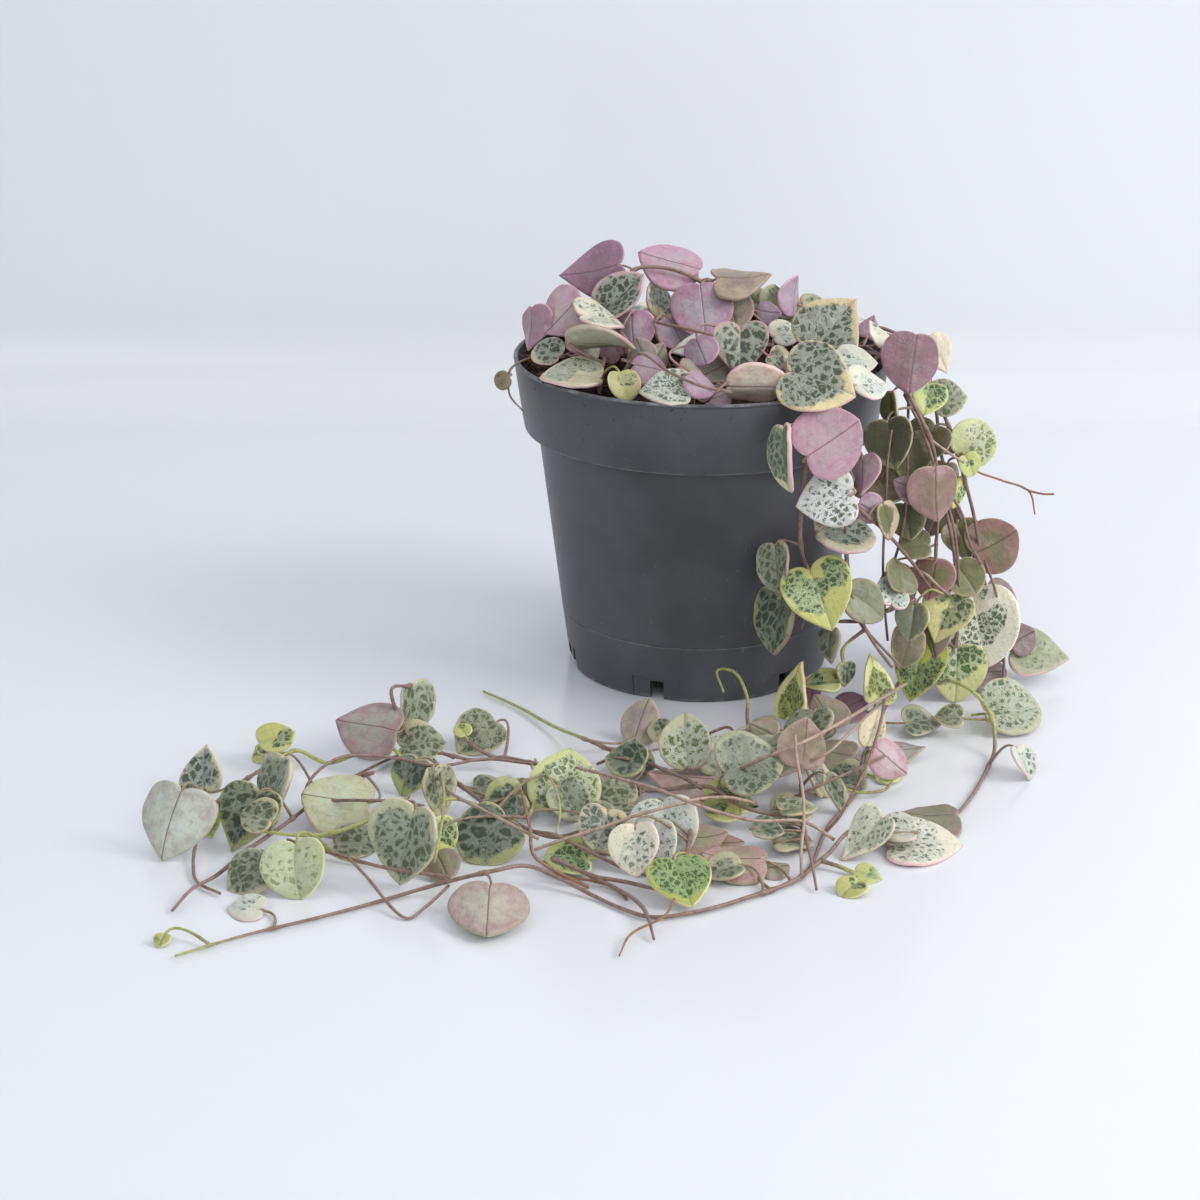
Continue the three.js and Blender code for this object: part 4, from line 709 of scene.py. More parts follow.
# a point on the smooth curve through all the points, t from 0 to 1
def curvePoint(points, t):
    last = len(points) - 1
    at = t * last
    i = min(int(at), last - 1)
    w = at - i
    p1, p2 = points[i], points[i + 1]
    p0 = points[i - 1] if i > 0 else p1 * 2 - p2
    p3 = points[i + 2] if i + 2 <= last else p2 * 2 - p1
    d1 = (p2 - p1).length_squared ** 0.25 or 1.0
    d0 = (p1 - p0).length_squared ** 0.25 or d1
    d2 = (p3 - p2).length_squared ** 0.25 or d1
    t1 = ((p1 - p0) / d0 - (p2 - p0) / (d0 + d1) + (p2 - p1) / d1) * d1
    t2 = ((p2 - p1) / d1 - (p3 - p1) / (d1 + d2) + (p3 - p2) / d2) * d1
    return p1 + t1 * w + (3 * (p2 - p1) - 2 * t1 - t2) * w ** 2 + (2 * (p1 - p2) + t1 + t2) * w ** 3


# points at even distances along the curve, and its length
def spacedPoints(points, steps):
    divisions = 200
    fine = [curvePoint(points, i / divisions) for i in range(divisions + 1)]
    lengths = [0.0]
    for a, b in zip(fine, fine[1:]):
        lengths.append(lengths[-1] + (b - a).length)
    placed = []
    k = 0
    for i in range(steps + 1):
        target = lengths[-1] * i / steps
        while k < divisions - 1 and lengths[k + 1] < target:
            k += 1
        span = lengths[k + 1] - lengths[k] or 1.0
        placed.append(curvePoint(points, (k + (target - lengths[k]) / span) / divisions))
    return placed, lengths[-1]


# how stems lie over the surface and one another, and where stalks start; lengths in mm
route = {
    "stemRadius": 0.7, "stemStep": 9, "surfaceHeight": 0.15, "lowHeight": 8, "riseOver": 2.1,
    "riseSlope": 0.4, "crossingWidth": 1.5, "finePerStep": 4, "fromBehind": 1.2, "leastPetiole": 2.5,
    "rootSpacing": 1.2, "petioleBend": 0.5, "petioleLow": 0.65, "petioleKeel": 0.6,
}
laid = []


# the corners of a stem, lifted over what is laid already where it lies low
def layStem(points, owner):
    length = spacedPoints(points, 1)[1]
    steps = max(2, math.floor(length / route["stemStep"] + 0.5))
    line = spacedPoints(points, steps * route["finePerStep"])[0]
    for p in line:
        p.z = max(p.z, route["stemRadius"] + route["surfaceHeight"])
        if p.z < route["lowHeight"]:
            for x, y, z, name in laid:
                if name != owner:
                    beyond = max(0, math.hypot(p.x - x, p.y - y) - route["crossingWidth"])
                    p.z = max(p.z, z + route["riseOver"] - route["riseSlope"] * beyond)
    own = [(p.x, p.y, p.z, owner) for p in line if p.z < route["lowHeight"]]
    return line[::route["finePerStep"]], steps, own


# the points of a stem where a stalk may start
def middleLine(corners, steps):
    ends = spacedPoints(corners, steps)[0]
    line = []
    for a, b in zip(ends, ends[1:]):
        line += [a.lerp(b, k / route["finePerStep"]) for k in range(route["finePerStep"])]
    return line + [ends[-1]]


# the nearest free point on the stems, where those past the tip count as farther
def rootOf(strand, notch, along, leastReach):
    best, least = None, math.inf
    for line in strand["lines"]:
        for p in line[1:-1]:
            reach = (p - notch).length
            away = reach + route["fromBehind"] * max(0, (p - notch).dot(along))
            apart = all((root - p).length > route["rootSpacing"] for root in strand["roots"])
            if apart and reach >= leastReach and away < least:
                best, least = p, away
    return best


# the shifts that a packed leaf may have taken to stay clear: toward the front, up, leans right and up
tries = [
    (0, 0, 0, 0), (1.5, 0, 0, 0), (-1.5, 0, 0, 0), (3, 0, 0, 0), (-3, 0, 0, 0), (0, 2, 0, 0),
    (0, 0, 15, 0), (0, 0, -15, 0), (0, 0, 0, 15), (0, 0, 0, -15), (2, 1, 15, 10), (2, 1, -15, 10),
    (4.5, 0, 0, 0), (-4.5, 0, 0, 0), (3, 3, 0, 15), (-3, 3, 0, 15), (0, 4, 20, 0), (0, 4, -20, 0),
    (6, 0, 0, 0), (-6, 0, 0, 0), (5, 4, 0, 20), (6, 5, 15, 0), (6, 5, -15, 0), (8, 2, 0, 10),
]
blade = {
    "width": 1.04, "fold": 0.2, "curl": 0.06, "thickness": 0.1, "leastThickness": 1.3,
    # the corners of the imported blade's right half
    "edge": [(0, -0.38), (0.24, -0.5), (0.49, -0.3), (0.5, 0.02), (0.31, 0.33), (0, 0.5)],
    "spine": 0.05,
}


# where a blade lies after a shift: its middle, its axes and its corners
def leafFrame(row, shift):
    x, y, z, turn, leanRight, leanUp, size, kind = row
    t, a, b = [math.radians(v) for v in (turn, leanRight + shift[2], leanUp + shift[3])]
    facing = toward * (math.cos(b) * math.cos(a)) + right * (math.sin(a) * math.cos(b)) + upward * math.sin(b)
    along = right * math.sin(t) + upward * math.cos(t)
    along = (along - facing * along.dot(facing)).normalized()
    top = -facing if kind.endswith("b") else facing
    middle = Vector((x, y, z)) + toward * shift[0] + Vector((0, 0, shift[1]))
    across = along.cross(top)
    corners = []
    for u, v in blade["edge"] + [(-u, v) for u, v in blade["edge"][-2:0:-1]]:
        rise = top * ((blade["fold"] * abs(u) - blade["curl"] * max(0, v)) * size)
        corners.append(middle + across * (u * blade["width"] * size) + along * (v * size) + rise)
    thick = max(blade["leastThickness"], blade["thickness"] * size) / 2
    faces = [middle + along * (blade["spine"] * size) + top * (side * thick) for side in (1, -1)]
    lowest = min([corners[0].z - route["petioleKeel"]] + [p.z for p in corners + faces])
    lift = Vector((0, 0, max(0, route["surfaceHeight"] - lowest)))
    return {"middle": middle + lift, "along": along, "top": top, "across": across, "size": size,
            "corners": [p + lift for p in corners]}


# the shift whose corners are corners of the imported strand
def settledLeaf(row, tree):
    placed = [leafFrame(row, shift) for shift in tries]
    return max(placed, key=lambda leaf: sum(tree.find(p * mm)[2] < 0.03 * mm for p in leaf["corners"]))


# the upper face's tones as they look in the studio, and its markings: mm of pale margin, how much of each
# cell stays free of green, how far the islands break up, and the cells' fineness
kindKeys = ("net", "island", "edge", "rim", "margin", "cover", "speckle", "coarse")
leafKinds = {
    "v": ((166, 172, 162), (88, 102, 80), (220, 213, 180), (208, 172, 178), 0.75, 0.12, 0.3, 0.85),
    "w": ((226, 230, 220), (116, 136, 108), (242, 239, 222), (228, 194, 200), 1.2, 0.22, 0.75, 1.0),
    "y": ((168, 184, 140), (88, 114, 66), (210, 215, 138), (222, 220, 176), 2.2, 0.11, 0.35, 1.0),
    "d": ((136, 146, 130), (80, 96, 72), (182, 188, 132), (162, 142, 130), 0.7, 0.09, 0.2, 0.62),
    "o": ((156, 162, 142), (108, 120, 92), (196, 194, 164), (192, 158, 158), 0.6, 0.14, 0.4, 0.8),
    "q": ((126, 128, 98), (104, 106, 78), (164, 156, 124), (170, 144, 134), 0.3, 0.5, 0.9, 0.8),
    "p": ((140, 124, 102), (100, 84, 66), (150, 134, 108), (112, 92, 76), 0.6, 0.3, 0.3, 1.0),
}
# the underside's middle, edge and midrib, by where the strand grows
underLooks = {
    "crown": {"v": [(178, 162, 172), (180, 146, 168), (112, 84, 98)],
              "w": [(224, 214, 208), (216, 192, 198), (156, 124, 136)],
              "o": [(176, 172, 158), (182, 160, 156), (118, 96, 92)]},
    "front": {"v": [(186, 170, 178), (186, 156, 170), (120, 92, 106)],
              "o": [(158, 154, 138), (168, 146, 142), (110, 92, 88)]},
    "curtain": {"v": [(150, 138, 130), (158, 134, 136), (92, 76, 76)],
                "o": [(132, 132, 108), (150, 132, 124), (84, 74, 66)]},
    "trail": {"v": [(200, 200, 188), (198, 180, 182), (110, 90, 90)],
              "o": [(148, 150, 124), (164, 150, 138), (100, 86, 78)]},
}


def under(middle, edge, **more):
    return {"under": middle, "underShade": edge, **more}


# leaves that differ from their kind, by strand and place in its list
ownLooks = {
    "crown_arch": {
        0: under((146, 122, 132), (164, 128, 148), shape="pointed"),
        1: under((206, 186, 198), (212, 172, 196), shape="ovate"),
        2: dict(margin=0.5, edge=(216, 186, 186), shape="ovate", slim=0.84, fold=1.8),
        4: under((184, 172, 184), (182, 146, 168), shape="ovate"),
        5: under((160, 144, 134), (188, 172, 152), shape="pointed"),
    },
    "crown_left": {
        0: under((200, 182, 184), (194, 160, 174)),
        1: under((164, 144, 158), (176, 142, 162)),
    },
    "crown_umbrella": {
        0: under((172, 178, 160), (196, 192, 176), shape="long", roll=26),
        1: dict(margin=2.0, net=(176, 178, 140), edge=(200, 196, 140)),
        2: dict(edge=(222, 214, 190), net=(190, 192, 176), margin=2.5),
    },
    "crown_front": {
        0: dict(cover=0.12, speckle=0.8, margin=0.8),
        2: under((224, 214, 202), (226, 208, 190), shape="long", slim=0.9),
    },
    "crown_heart": {
        0: dict(net=(176, 180, 166), island=(92, 106, 90), edge=(204, 182, 178), margin=0.4,
            rim=(212, 164, 184), shape="heart"),
    },
    "crown_low": {
        0: dict(margin=0.9, wideSide=1.2, edge=(224, 214, 170), shape="shallow"),
    },
    "crown_high": {
        0: dict(margin=0.6, wideSide=1.4, edge=(220, 206, 168), shape="pointed"),
    },
    "crown_right": {
        0: under((132, 112, 116), (146, 116, 128), shape="ovate"),
    },
    "front_main": {
        0: dict(slim=0.72, net=(150, 158, 140), island=(104, 118, 94)),
        1: under((182, 164, 174), (186, 156, 172), shape="round"),
        2: dict(cover=0.2, speckle=0.85, margin=0.4, net=(240, 243, 238), rim=(232, 178, 196),
            shape="heart"),
        4: dict(margin=3.0, wideSide=2.2, edge=(208, 214, 134), shape="heart"),
    },
    "front_side": {
        3: dict(kind="q", net=(146, 150, 126), shape="long"),
        6: dict(kind="q", net=(112, 116, 80), edge=(200, 184, 164), margin=1.0, slim=0.7),
    },
    "curtain_inner": {
        0: dict(kind="q"),
        1: dict(kind="q", net=(104, 106, 72), shape="long", slim=0.8),
        2: dict(kind="q", net=(100, 96, 78), edge=(156, 146, 116), shape="shallow"),
        3: dict(kind="q", net=(106, 104, 80), shape="long"),
        4: under((166, 142, 150), (170, 136, 148), shape="shallow"),
        5: under((132, 120, 106), (154, 128, 128), shape="ovate"),
        6: dict(kind="q", net=(140, 138, 106), shape="round"),
        7: under((124, 122, 92), (164, 124, 132), shape="ovate"),
    },
    "curtain_cross": {
        0: dict(kind="q", net=(144, 150, 130), edge=(196, 196, 150), shape="long"),
        1: dict(kind="w", margin=1.0, shape="pointed", slim=0.7),
        2: dict(kind="q", shape="shallow"),
    },
    "curtain_mid": {
        0: under((176, 162, 140), (156, 140, 120), shape="long"),
        1: dict(kind="q", net=(130, 132, 100), shape="round"),
        2: dict(net=(160, 168, 132), island=(96, 110, 80), edge=(212, 212, 152), margin=1.8,
            shape="pointed"),
        3: dict(margin=1.8, net=(168, 182, 146), island=(92, 120, 70), edge=(206, 208, 150)),
        4: dict(margin=2.6, edge=(188, 198, 92), net=(140, 158, 104), island=(78, 100, 52), shape="shallow",
            slim=0.72),
        5: dict(kind="q", net=(112, 108, 90), shape="long"),
    },
    "curtain_outer": {
        1: dict(kind="q", net=(112, 108, 82)),
        3: dict(margin=2.2, net=(206, 211, 184), edge=(202, 210, 160), island=(150, 168, 110),
            shape="round"),
        6: under((126, 122, 96), (152, 122, 116), shape="round"),
        7: dict(margin=4.0, wideSide=3.1, net=(232, 236, 222), edge=(255, 254, 238), cover=0.1,
            shape="round"),
        8: dict(cover=0.32, net=(186, 192, 166), edge=(210, 210, 184), shape="pointed"),
    },
    "curtain_back": {
        0: dict(kind="q"),
        1: dict(kind="q"),
    },
    "trail_loop": {
        0: dict(margin=1.0, net=(204, 208, 186), island=(104, 134, 86), edge=(222, 220, 186), speckle=0.7,
            cover=0.18, shape="round"),
    },
    "trail_front": {
        0: dict(kind="y", net=(158, 168, 104), island=(98, 112, 60), edge=(218, 218, 156), margin=1.1,
            shape="pointed", slim=0.78),
        1: dict(kind="y", net=(158, 168, 104), island=(98, 112, 60), edge=(218, 218, 156), margin=1.1,
            shape="pointed", slim=0.78),
        2: under((176, 124, 150), (184, 136, 160)),
        3: under((160, 122, 138), (170, 136, 146)),
        4: dict(shape="long", slim=0.8),
        11: dict(kind="o", shape="long", slim=0.6),
        12: under((150, 140, 124), (172, 152, 146), shape="ovate"),
    },
    "trail_right": {
        2: dict(kind="w", net=(200, 206, 190), island=(114, 128, 102), cover=0.22, slim=0.66, margin=0.6,
            shape="pointed"),
        3: dict(net=(216, 210, 180), edge=(230, 222, 192), margin=2.4, shape="long", slim=0.6),
        7: under((192, 184, 158), (208, 180, 178)),
        8: under((176, 168, 140), (190, 168, 158)),
        9: under((216, 210, 196), (206, 186, 180), shape="shallow"),
        16: under((210, 190, 192), (206, 168, 178), shape="ovate"),
    },
    "trail_middle": {
        0: dict(margin=0.8, net=(158, 182, 128), island=(88, 122, 66), edge=(184, 198, 112)),
        1: dict(net=(166, 174, 154), island=(116, 130, 108), cover=0.26, speckle=0.8, shape="long",
            slim=0.85),
        3: under((228, 212, 206), (222, 192, 192)),
        5: dict(cover=0.26, rim=(206, 200, 176), shape="round"),
        6: dict(cover=0.26, rim=(206, 200, 176), shape="round", margin=0.4),
        15: under((186, 172, 148), (206, 174, 172)),
        22: under((186, 176, 150), (200, 176, 166)),
    },
    "trail_short": {
        0: dict(net=(210, 216, 202), island=(122, 150, 82), edge=(216, 220, 186), cover=0.16, speckle=0.9,
            coarse=0.7, shape="long", slim=0.9),
        2: under((176, 164, 162), (194, 182, 168), shape="long"),
    },
    "trail_left": {
        4: under((220, 223, 208), (208, 206, 190), shape="shallow"),
    },
    "trail_brown": {
        0: under((212, 218, 194), (212, 214, 178)),
    },
    "trail_inner": {
        3: dict(margin=0.7, net=(198, 208, 182), island=(122, 146, 92), edge=(208, 218, 156), cover=0.1,
            shape="ovate"),
        7: under((180, 174, 166), (178, 152, 154), shape="ovate"),
    },
    "trail_olive": {
        2: dict(margin=1.2, net=(206, 211, 182), island=(168, 184, 132), edge=(204, 210, 168), cover=0.24,
            shape="round"),
    },
}
# painted light: the studio light lifts a face that looks up, so the leaf tones are painted darker there and
# lighter on faces that look sideways, with the light's cool cast taken out of green and blue: its share for
# one that looks sideways, and what looking up adds
paintedFacingLight = {"side": 0.88, "up": 0.4, "green": 1.01, "blue": 1.04}


# the shape, tones and markings of a leaf, from its kind, its place and chance
def leafLook(strandName, index, kind):
    group = strandName.split("_")[0]
    group = group if group in underLooks else "trail"
    letter = kind[0]
    own = ownLooks.get(strandName, {}).get(index, {})
    chance = random.Random(strandName + str(index))
    shape = chance.choice(["heart", "shallow", "shallow", "ovate", "round", "pointed"])
    look = {"shape": shape, "slim": 1.0, "wideSide": chance.uniform(-math.pi, math.pi), "chance": chance}
    look.update(zip(kindKeys, leafKinds[own.get("kind", letter)]))
    if group in ("curtain", "trail") and letter in "vdo":
        look["rim"] = (200, 190, 162)
    unders = underLooks[group]
    tones = unders.get(letter) or unders["o" if letter in "dyp" else "v"]
    look.update(zip(("under", "underShade", "rib"), tones))
    look["margin"] *= chance.uniform(0.6, 1.5)
    look.update(own)
    look["net"] = [min(250, part * 1.04) for part in look["net"]]
    look["island"] = [part * 0.87 for part in look["island"]]
    change = chance.uniform(-0.05, 0.05)
    warm = chance.uniform(-0.02, 0.02)
    for key in ("net", "island", "edge", "rim", "under", "underShade", "rib"):
        r, g, b = look[key]
        look[key] = tone(r * (1 + change + warm), g * (1 + change), b * (1 + change - warm))
    return look


leafTones = {"netTone": "net", "islandTone": "island", "marginTone": "edge", "rimTone": "rim",
             "underTone": "under", "underShade": "underShade", "ribTone": "rib"}
leafGrid = {
    "rows": 26,
    "columns": [0, 0.1, 0.24, 0.4, 0.56, 0.7, 0.82, 0.9, 0.95, 0.98, 1],
    "edgeRound": 0.6,      # mm over which the edge rounds off
    "wave": 0.013,         # of the length
    "thinEdge": 0.72,      # how thick the blade is near its edge, of its middle
    "groove": 0.16,        # mm that the midrib sinks
    "lowest": 0.12,        # mm over the surface
}
# the least and the most of what varies from leaf to leaf
leafChance = {
    "width": (0.95, 1.0), "fold": (0.6, 1.5), "swell": (0.0, 0.9), "arch": (-0.05, 0.3), "twist": (-0.2, 0.2),
    "bow": (-0.04, 0.04), "wave": (0.4, 1.6),
}
# three Bezier pieces end to end for a leaf's right half, from the notch round to the tip, for a leaf 1 long
leafShapes = {
    "heart": [(0, -0.36), (0.01, -0.43), (0.09, -0.505), (0.22, -0.505), (0.4, -0.505), (0.51, -0.38),
        (0.51, -0.18), (0.51, 0.12), (0.24, 0.34), (0, 0.51)],
    "shallow": [(0, -0.42), (0.02, -0.465), (0.09, -0.505), (0.19, -0.505), (0.4, -0.5), (0.52, -0.36),
        (0.52, -0.14), (0.52, 0.14), (0.26, 0.36), (0, 0.51)],
    "round": [(0, -0.43), (0.02, -0.475), (0.1, -0.505), (0.2, -0.505), (0.42, -0.5), (0.53, -0.3),
        (0.53, -0.08), (0.53, 0.24), (0.28, 0.45), (0, 0.49)],
    "ovate": [(0, -0.475), (0.04, -0.5), (0.1, -0.51), (0.18, -0.505), (0.4, -0.49), (0.51, -0.31),
        (0.51, -0.1), (0.51, 0.17), (0.25, 0.38), (0, 0.51)],
    "pointed": [(0, -0.4), (0.01, -0.46), (0.09, -0.51), (0.2, -0.51), (0.38, -0.51), (0.495, -0.4),
        (0.495, -0.22), (0.49, 0.06), (0.2, 0.3), (0, 0.53)],
    "long": [(0, -0.45), (0.02, -0.49), (0.07, -0.51), (0.15, -0.505), (0.33, -0.48), (0.43, -0.3),
        (0.44, -0.1), (0.44, 0.16), (0.2, 0.42), (0, 0.5)],
}


def bezier(piece, t):
    s = 1 - t
    weights = (s ** 3, 3 * s * s * t, 3 * s * t * t, t ** 3)
    return tuple(sum(w * p[i] for w, p in zip(weights, piece)) for i in (0, 1))


# evenly spaced points along the right half
def halfOutline(points):
    pieces = [points[n:n + 4] for n in range(0, len(points) - 1, 3)]
    fine = [bezier(piece, k / 24) for piece in pieces for k in range(24)] + [points[-1]]
    lengths = [0.0]
    for a, b in zip(fine, fine[1:]):
        lengths.append(lengths[-1] + math.dist(a, b))
    rows = leafGrid["rows"]
    placed = []
    k = 0
    for i in range(rows + 1):
        target = lengths[-1] * i / rows
        while k < len(fine) - 2 and lengths[k + 1] < target:
            k += 1
        share = (target - lengths[k]) / (lengths[k + 1] - lengths[k])
        placed.append(tuple(lerp(p, q, share) for p, q in zip(fine[k], fine[k + 1])))
    return placed


# a shape's grid, for a leaf one long: (u, v) and side of each vertex, how far in from the edge, the faces
def makeLeafGrid(points):
    outline = halfOutline(points)
    rows, columns = leafGrid["rows"], leafGrid["columns"]
    last = len(columns) - 1
    low, high = outline[0][1], outline[-1][1]
    spots, index = [], {}

    def spot(half, i, j, side):
        if i in (0, rows):
            key = (i,)
        elif j == 0:
            key = (i, 0, side)
        elif j == last:
            key = (half, i, last)
        else:
            key = (half, i, j, side)
        if key not in index:
            u, v = outline[i]
            spine = lerp(low, high, (i / rows) ** 1.25)
            share = columns[j]
            place = (half * u * share, lerp(spine, v, share)) if i not in (0, rows) else (0, v)
            rim = i in (0, rows) or j == last
            index[key] = len(spots)
            spots.append((place, 0.0 if rim else side))
        return index[key]

    faces = []
    for half in (1, -1):
        for side in (1, -1):
            for i in range(rows):
                for j in range(last):
                    ring = [spot(half, i, j, side), spot(half, i, j + 1, side),
                            spot(half, i + 1, j + 1, side), spot(half, i + 1, j, side)]
                    face = [n for k, n in enumerate(ring) if n not in ring[:k]]
                    if len(face) > 2:
                        faces.append(tuple(face if half * side > 0 else face[::-1]))
    fine = [outline[-1]]
    for a, b in zip(outline, outline[1:]):
        fine += [tuple(lerp(p, q, k / 3) for p, q in zip(a, b)) for k in range(3)]
    inset = [min(math.dist((abs(place[0]), place[1]), p) for p in fine) for place, side in spots]
    return spots, inset, faces


leafGrids = {name: makeLeafGrid(points) for name, points in leafShapes.items()}
leafMarks = ("across", "along", "inset", "upper", "depth", "seed", "coarse", "cover", "speckle", "margin",
             "wideSide")


def newStore():
    return {"points": [], "faces": []}, {key: [] for key in (*leafMarks, *leafTones)}


def addLeaf(store, marks, leaf, look):
    size, chance = leaf["size"], look["chance"]
    spots, insets, faces = leafGrids[look["shape"]]
    start = len(store["points"])
    thick = max(blade["leastThickness"], blade["thickness"] * size) / 2
    drawn = {key: chance.uniform(*limits) for key, limits in leafChance.items() if key != "wave"}
    wide = blade["width"] * drawn["width"] * look["slim"]
    fold = blade["fold"] * look.get("fold", drawn["fold"])
    phases = [chance.uniform(0, 2 * math.pi) for k in range(4)]
    wave = leafGrid["wave"] * size * chance.uniform(*leafChance["wave"])
    seed = chance.uniform(0, 500)
    deepest = max(insets)
    middle, across, along, top = (leaf[key] for key in ("middle", "across", "along", "top"))
    if look.get("roll"):
        turn = Matrix.Rotation(math.radians(look["roll"]), 3, along)
        across, top = turn @ across, turn @ top
    for ((u, v), side), near in zip(spots, insets):
        inset = near * size
        crease = math.sqrt(u * u + 0.0016) - 0.04
        rise = fold * (crease + drawn["swell"] * u * (0.5 - abs(u)) * (1 if u > 0 else -1))
        rise -= blade["curl"] * max(0, v) + drawn["arch"] * max(0, v + 0.1) ** 2 + drawn["twist"] * u * v
        turn = math.atan2(v + 0.05, u)
        outer = (u * u + v * v) * 4
        ripple = wave * math.sin(3 * turn + phases[0]) * outer
        ripple += 0.6 * wave * math.sin(5 * turn + phases[1]) * outer
        ripple += 0.25 * wave * math.sin(11 * turn + phases[3]) * outer * outer
        rounding = min(1, inset / leafGrid["edgeRound"])
        body = leafGrid["thinEdge"] + (1 - leafGrid["thinEdge"]) * ease(0, 0.3 * size, inset)
        depth = thick * body * math.sqrt(1 - (1 - rounding) ** 2)
        groove = -leafGrid["groove"] * math.exp(-((u * size / 0.5) ** 2)) * side * ease(0, 1.5, inset)
        shift = drawn["bow"] * math.sin(phases[2] + 3.5 * v)
        p = middle + across * ((u * wide + shift) * size) + along * (v * size)
        p = p + top * (rise * size + ripple + side * depth + groove)
        p.z = max(p.z, leafGrid["lowest"])
        store["points"].append(p * mm)
        values = (u * size, v * size, inset, near / deepest, 0.5 + 0.5 * side)
        for key, value in zip(("across", "along", "inset", "depth", "upper"), values):
            marks[key].append(value)
    store["faces"] += [tuple(start + n for n in face) for face in faces]
    count = len(spots)
    marks["seed"] += [seed] * count
    for key in ("coarse", "cover", "speckle", "margin", "wideSide"):
        marks[key] += [float(look[key])] * count
    # painted light: each tone is divided by the light its face gets, the upper tones by how far the face
    # looks up, the underside tones by how far it looks down
    for key, name in leafTones.items():
        looksUp = top.z if name in ("net", "island", "edge") else -top.z
        lift = paintedFacingLight["side"] + paintedFacingLight["up"] * max(0, looksUp)
        r, g, b = look[name][:3]
        marks[key] += [(r / lift, g / lift / paintedFacingLight["green"], b / lift / paintedFacingLight["blue"], 1)] * count


# mm, and the tones that stems and their stretches have
stemLook = {
    "sides": 8, "petioleSides": 6, "step": 1.1, "radius": 0.52, "tipRadius": 0.36, "nodeSwell": 0.5,
    "nodeReach": 1.1, "petioleRadius": 0.42, "petioleEnd": 0.34, "petioleStep": 0.9, "lowest": 0.1,
    "brown": (142, 118, 104), "mauve": (150, 126, 116), "tan": (184, 160, 144), "young": (180, 184, 116),
    "dry": (160, 120, 92),
}


def newTubes():
    return {"points": [], "faces": [], "skin": []}


# a tube with closed ends, thick and toned as given at each centre
def addTube(tubes, centres, radii, tones, sides):
    points, faces = tubes["points"], tubes["faces"]
    start, last = len(points), len(centres) - 1
    side = None
    for i, centre in enumerate(centres):
        ahead = (centres[min(i + 1, last)] - centres[max(i - 1, 0)]).normalized()
        side = ahead.orthogonal().normalized() if side is None else side
        side = (side - ahead * side.dot(ahead)).normalized()
        other = ahead.cross(side)
        for k in range(sides):
            angle = 2 * math.pi * k / sides
            p = centre + (side * math.cos(angle) + other * math.sin(angle)) * radii[i]
            p.z = max(p.z, stemLook["lowest"])
            points.append(p * mm)
            tubes["skin"].append(tones[i])
    for i in range(last):
        for k in range(sides):
            a, b = start + i * sides + k, start + i * sides + (k + 1) % sides
            faces.append((a, b, b + sides, a + sides))
    end = start + last * sides
    faces.append(tuple(start + k for k in range(sides))[::-1])
    faces.append(tuple(end + k for k in range(sides)))


def addTubes(name, tubes):
    return addPiece(name, tubes["points"], tubes["faces"], stemSkin, {"skin": tubes["skin"]})


# points along a stem, one for each step
def stemLine(corners):
    count = max(4, round(spacedPoints(corners, 1)[1] / stemLook["step"]))
    return spacedPoints(corners, count)[0]


# stretches in another tone and thickness: strand, stem: its tone, where it starts and ends as a share of
# its length, and how thick it is there
stretches = {
    ("trail_loop", 0): ("young", -0.1, 0.42, 1.05), ("trail_loop", 1): ("young", -0.1, 1.1, 0.85),
    ("trail_right", 0): ("young", 0.96, 1.1, 0.8), ("trail_right", 2): ("young", 0.3, 1.1, 0.8),
    ("trail_middle", 1): ("young", 0.55, 1.1, 0.85), ("trail_inner", 1): ("young", -0.1, 1.1, 0.8),
    ("trail_short", 0): ("young", 0.5, 1.1, 0.95), ("trail_left", 0): ("young", -0.1, 0.42, 0.95),
    ("trail_olive", 0): ("young", 0.1, 1.1, 0.95), ("trail_olive", 1): ("young", 0.0, 1.1, 0.8),
    ("curtain_outer", 1): ("dry", 0.12, 1.1, 0.62), ("tendril_front", 0): ("dry", -0.1, 1.1, 0.6),
    ("dry_sprig", 0): ("brown", 0.2, 1.1, 0.6), ("front_side", 2): ("young", 0.3, 1.1, 0.8),
}


def stemTone(strandName, stem, share, place):
    wander = noise.noise(place * 0.06 + Vector((0, 0, 9)))
    base = blendTone(tone(*stemLook["brown"]), tone(*stemLook["mauve"]), ease(-0.4, 0.4, wander))
    name, low, high, thick = stretches.get((strandName, stem), ("young", 2, 3, 1))
    part = ease(low - 0.05, low + 0.05, share) * (1 - ease(high - 0.05, high + 0.05, share))
    return blendTone(base, tone(*stemLook[name]), part), lerp(1, thick, part)


# a stem, thicker where stalks start
def addStem(tubes, strand, stem, corners):
    centres = stemLine(corners)
    radii, tones = [], []
    for i, p in enumerate(centres):
        share = i / (len(centres) - 1)
        radius = lerp(stemLook["radius"], stemLook["tipRadius"], ease(0.7, 1, share))
        radius *= 1 + 0.06 * noise.noise(p * 0.4)
        close = min([(p - root).length for root in strand["roots"]] + [9])
        radius *= 1 + stemLook["nodeSwell"] * math.exp(-((close / stemLook["nodeReach"]) ** 2))
        skinTone, thick = stemTone(strand["name"], stem, share, p)
        radii.append(radius * thick)
        tones.append(skinTone)
    addTube(tubes, centres, radii, tones, stemLook["sides"])


petioleTones = {
    "crown": (170, 132, 140), "front": (182, 148, 150), "curtain": (150, 128, 118), "trail": (154, 134, 118),
}


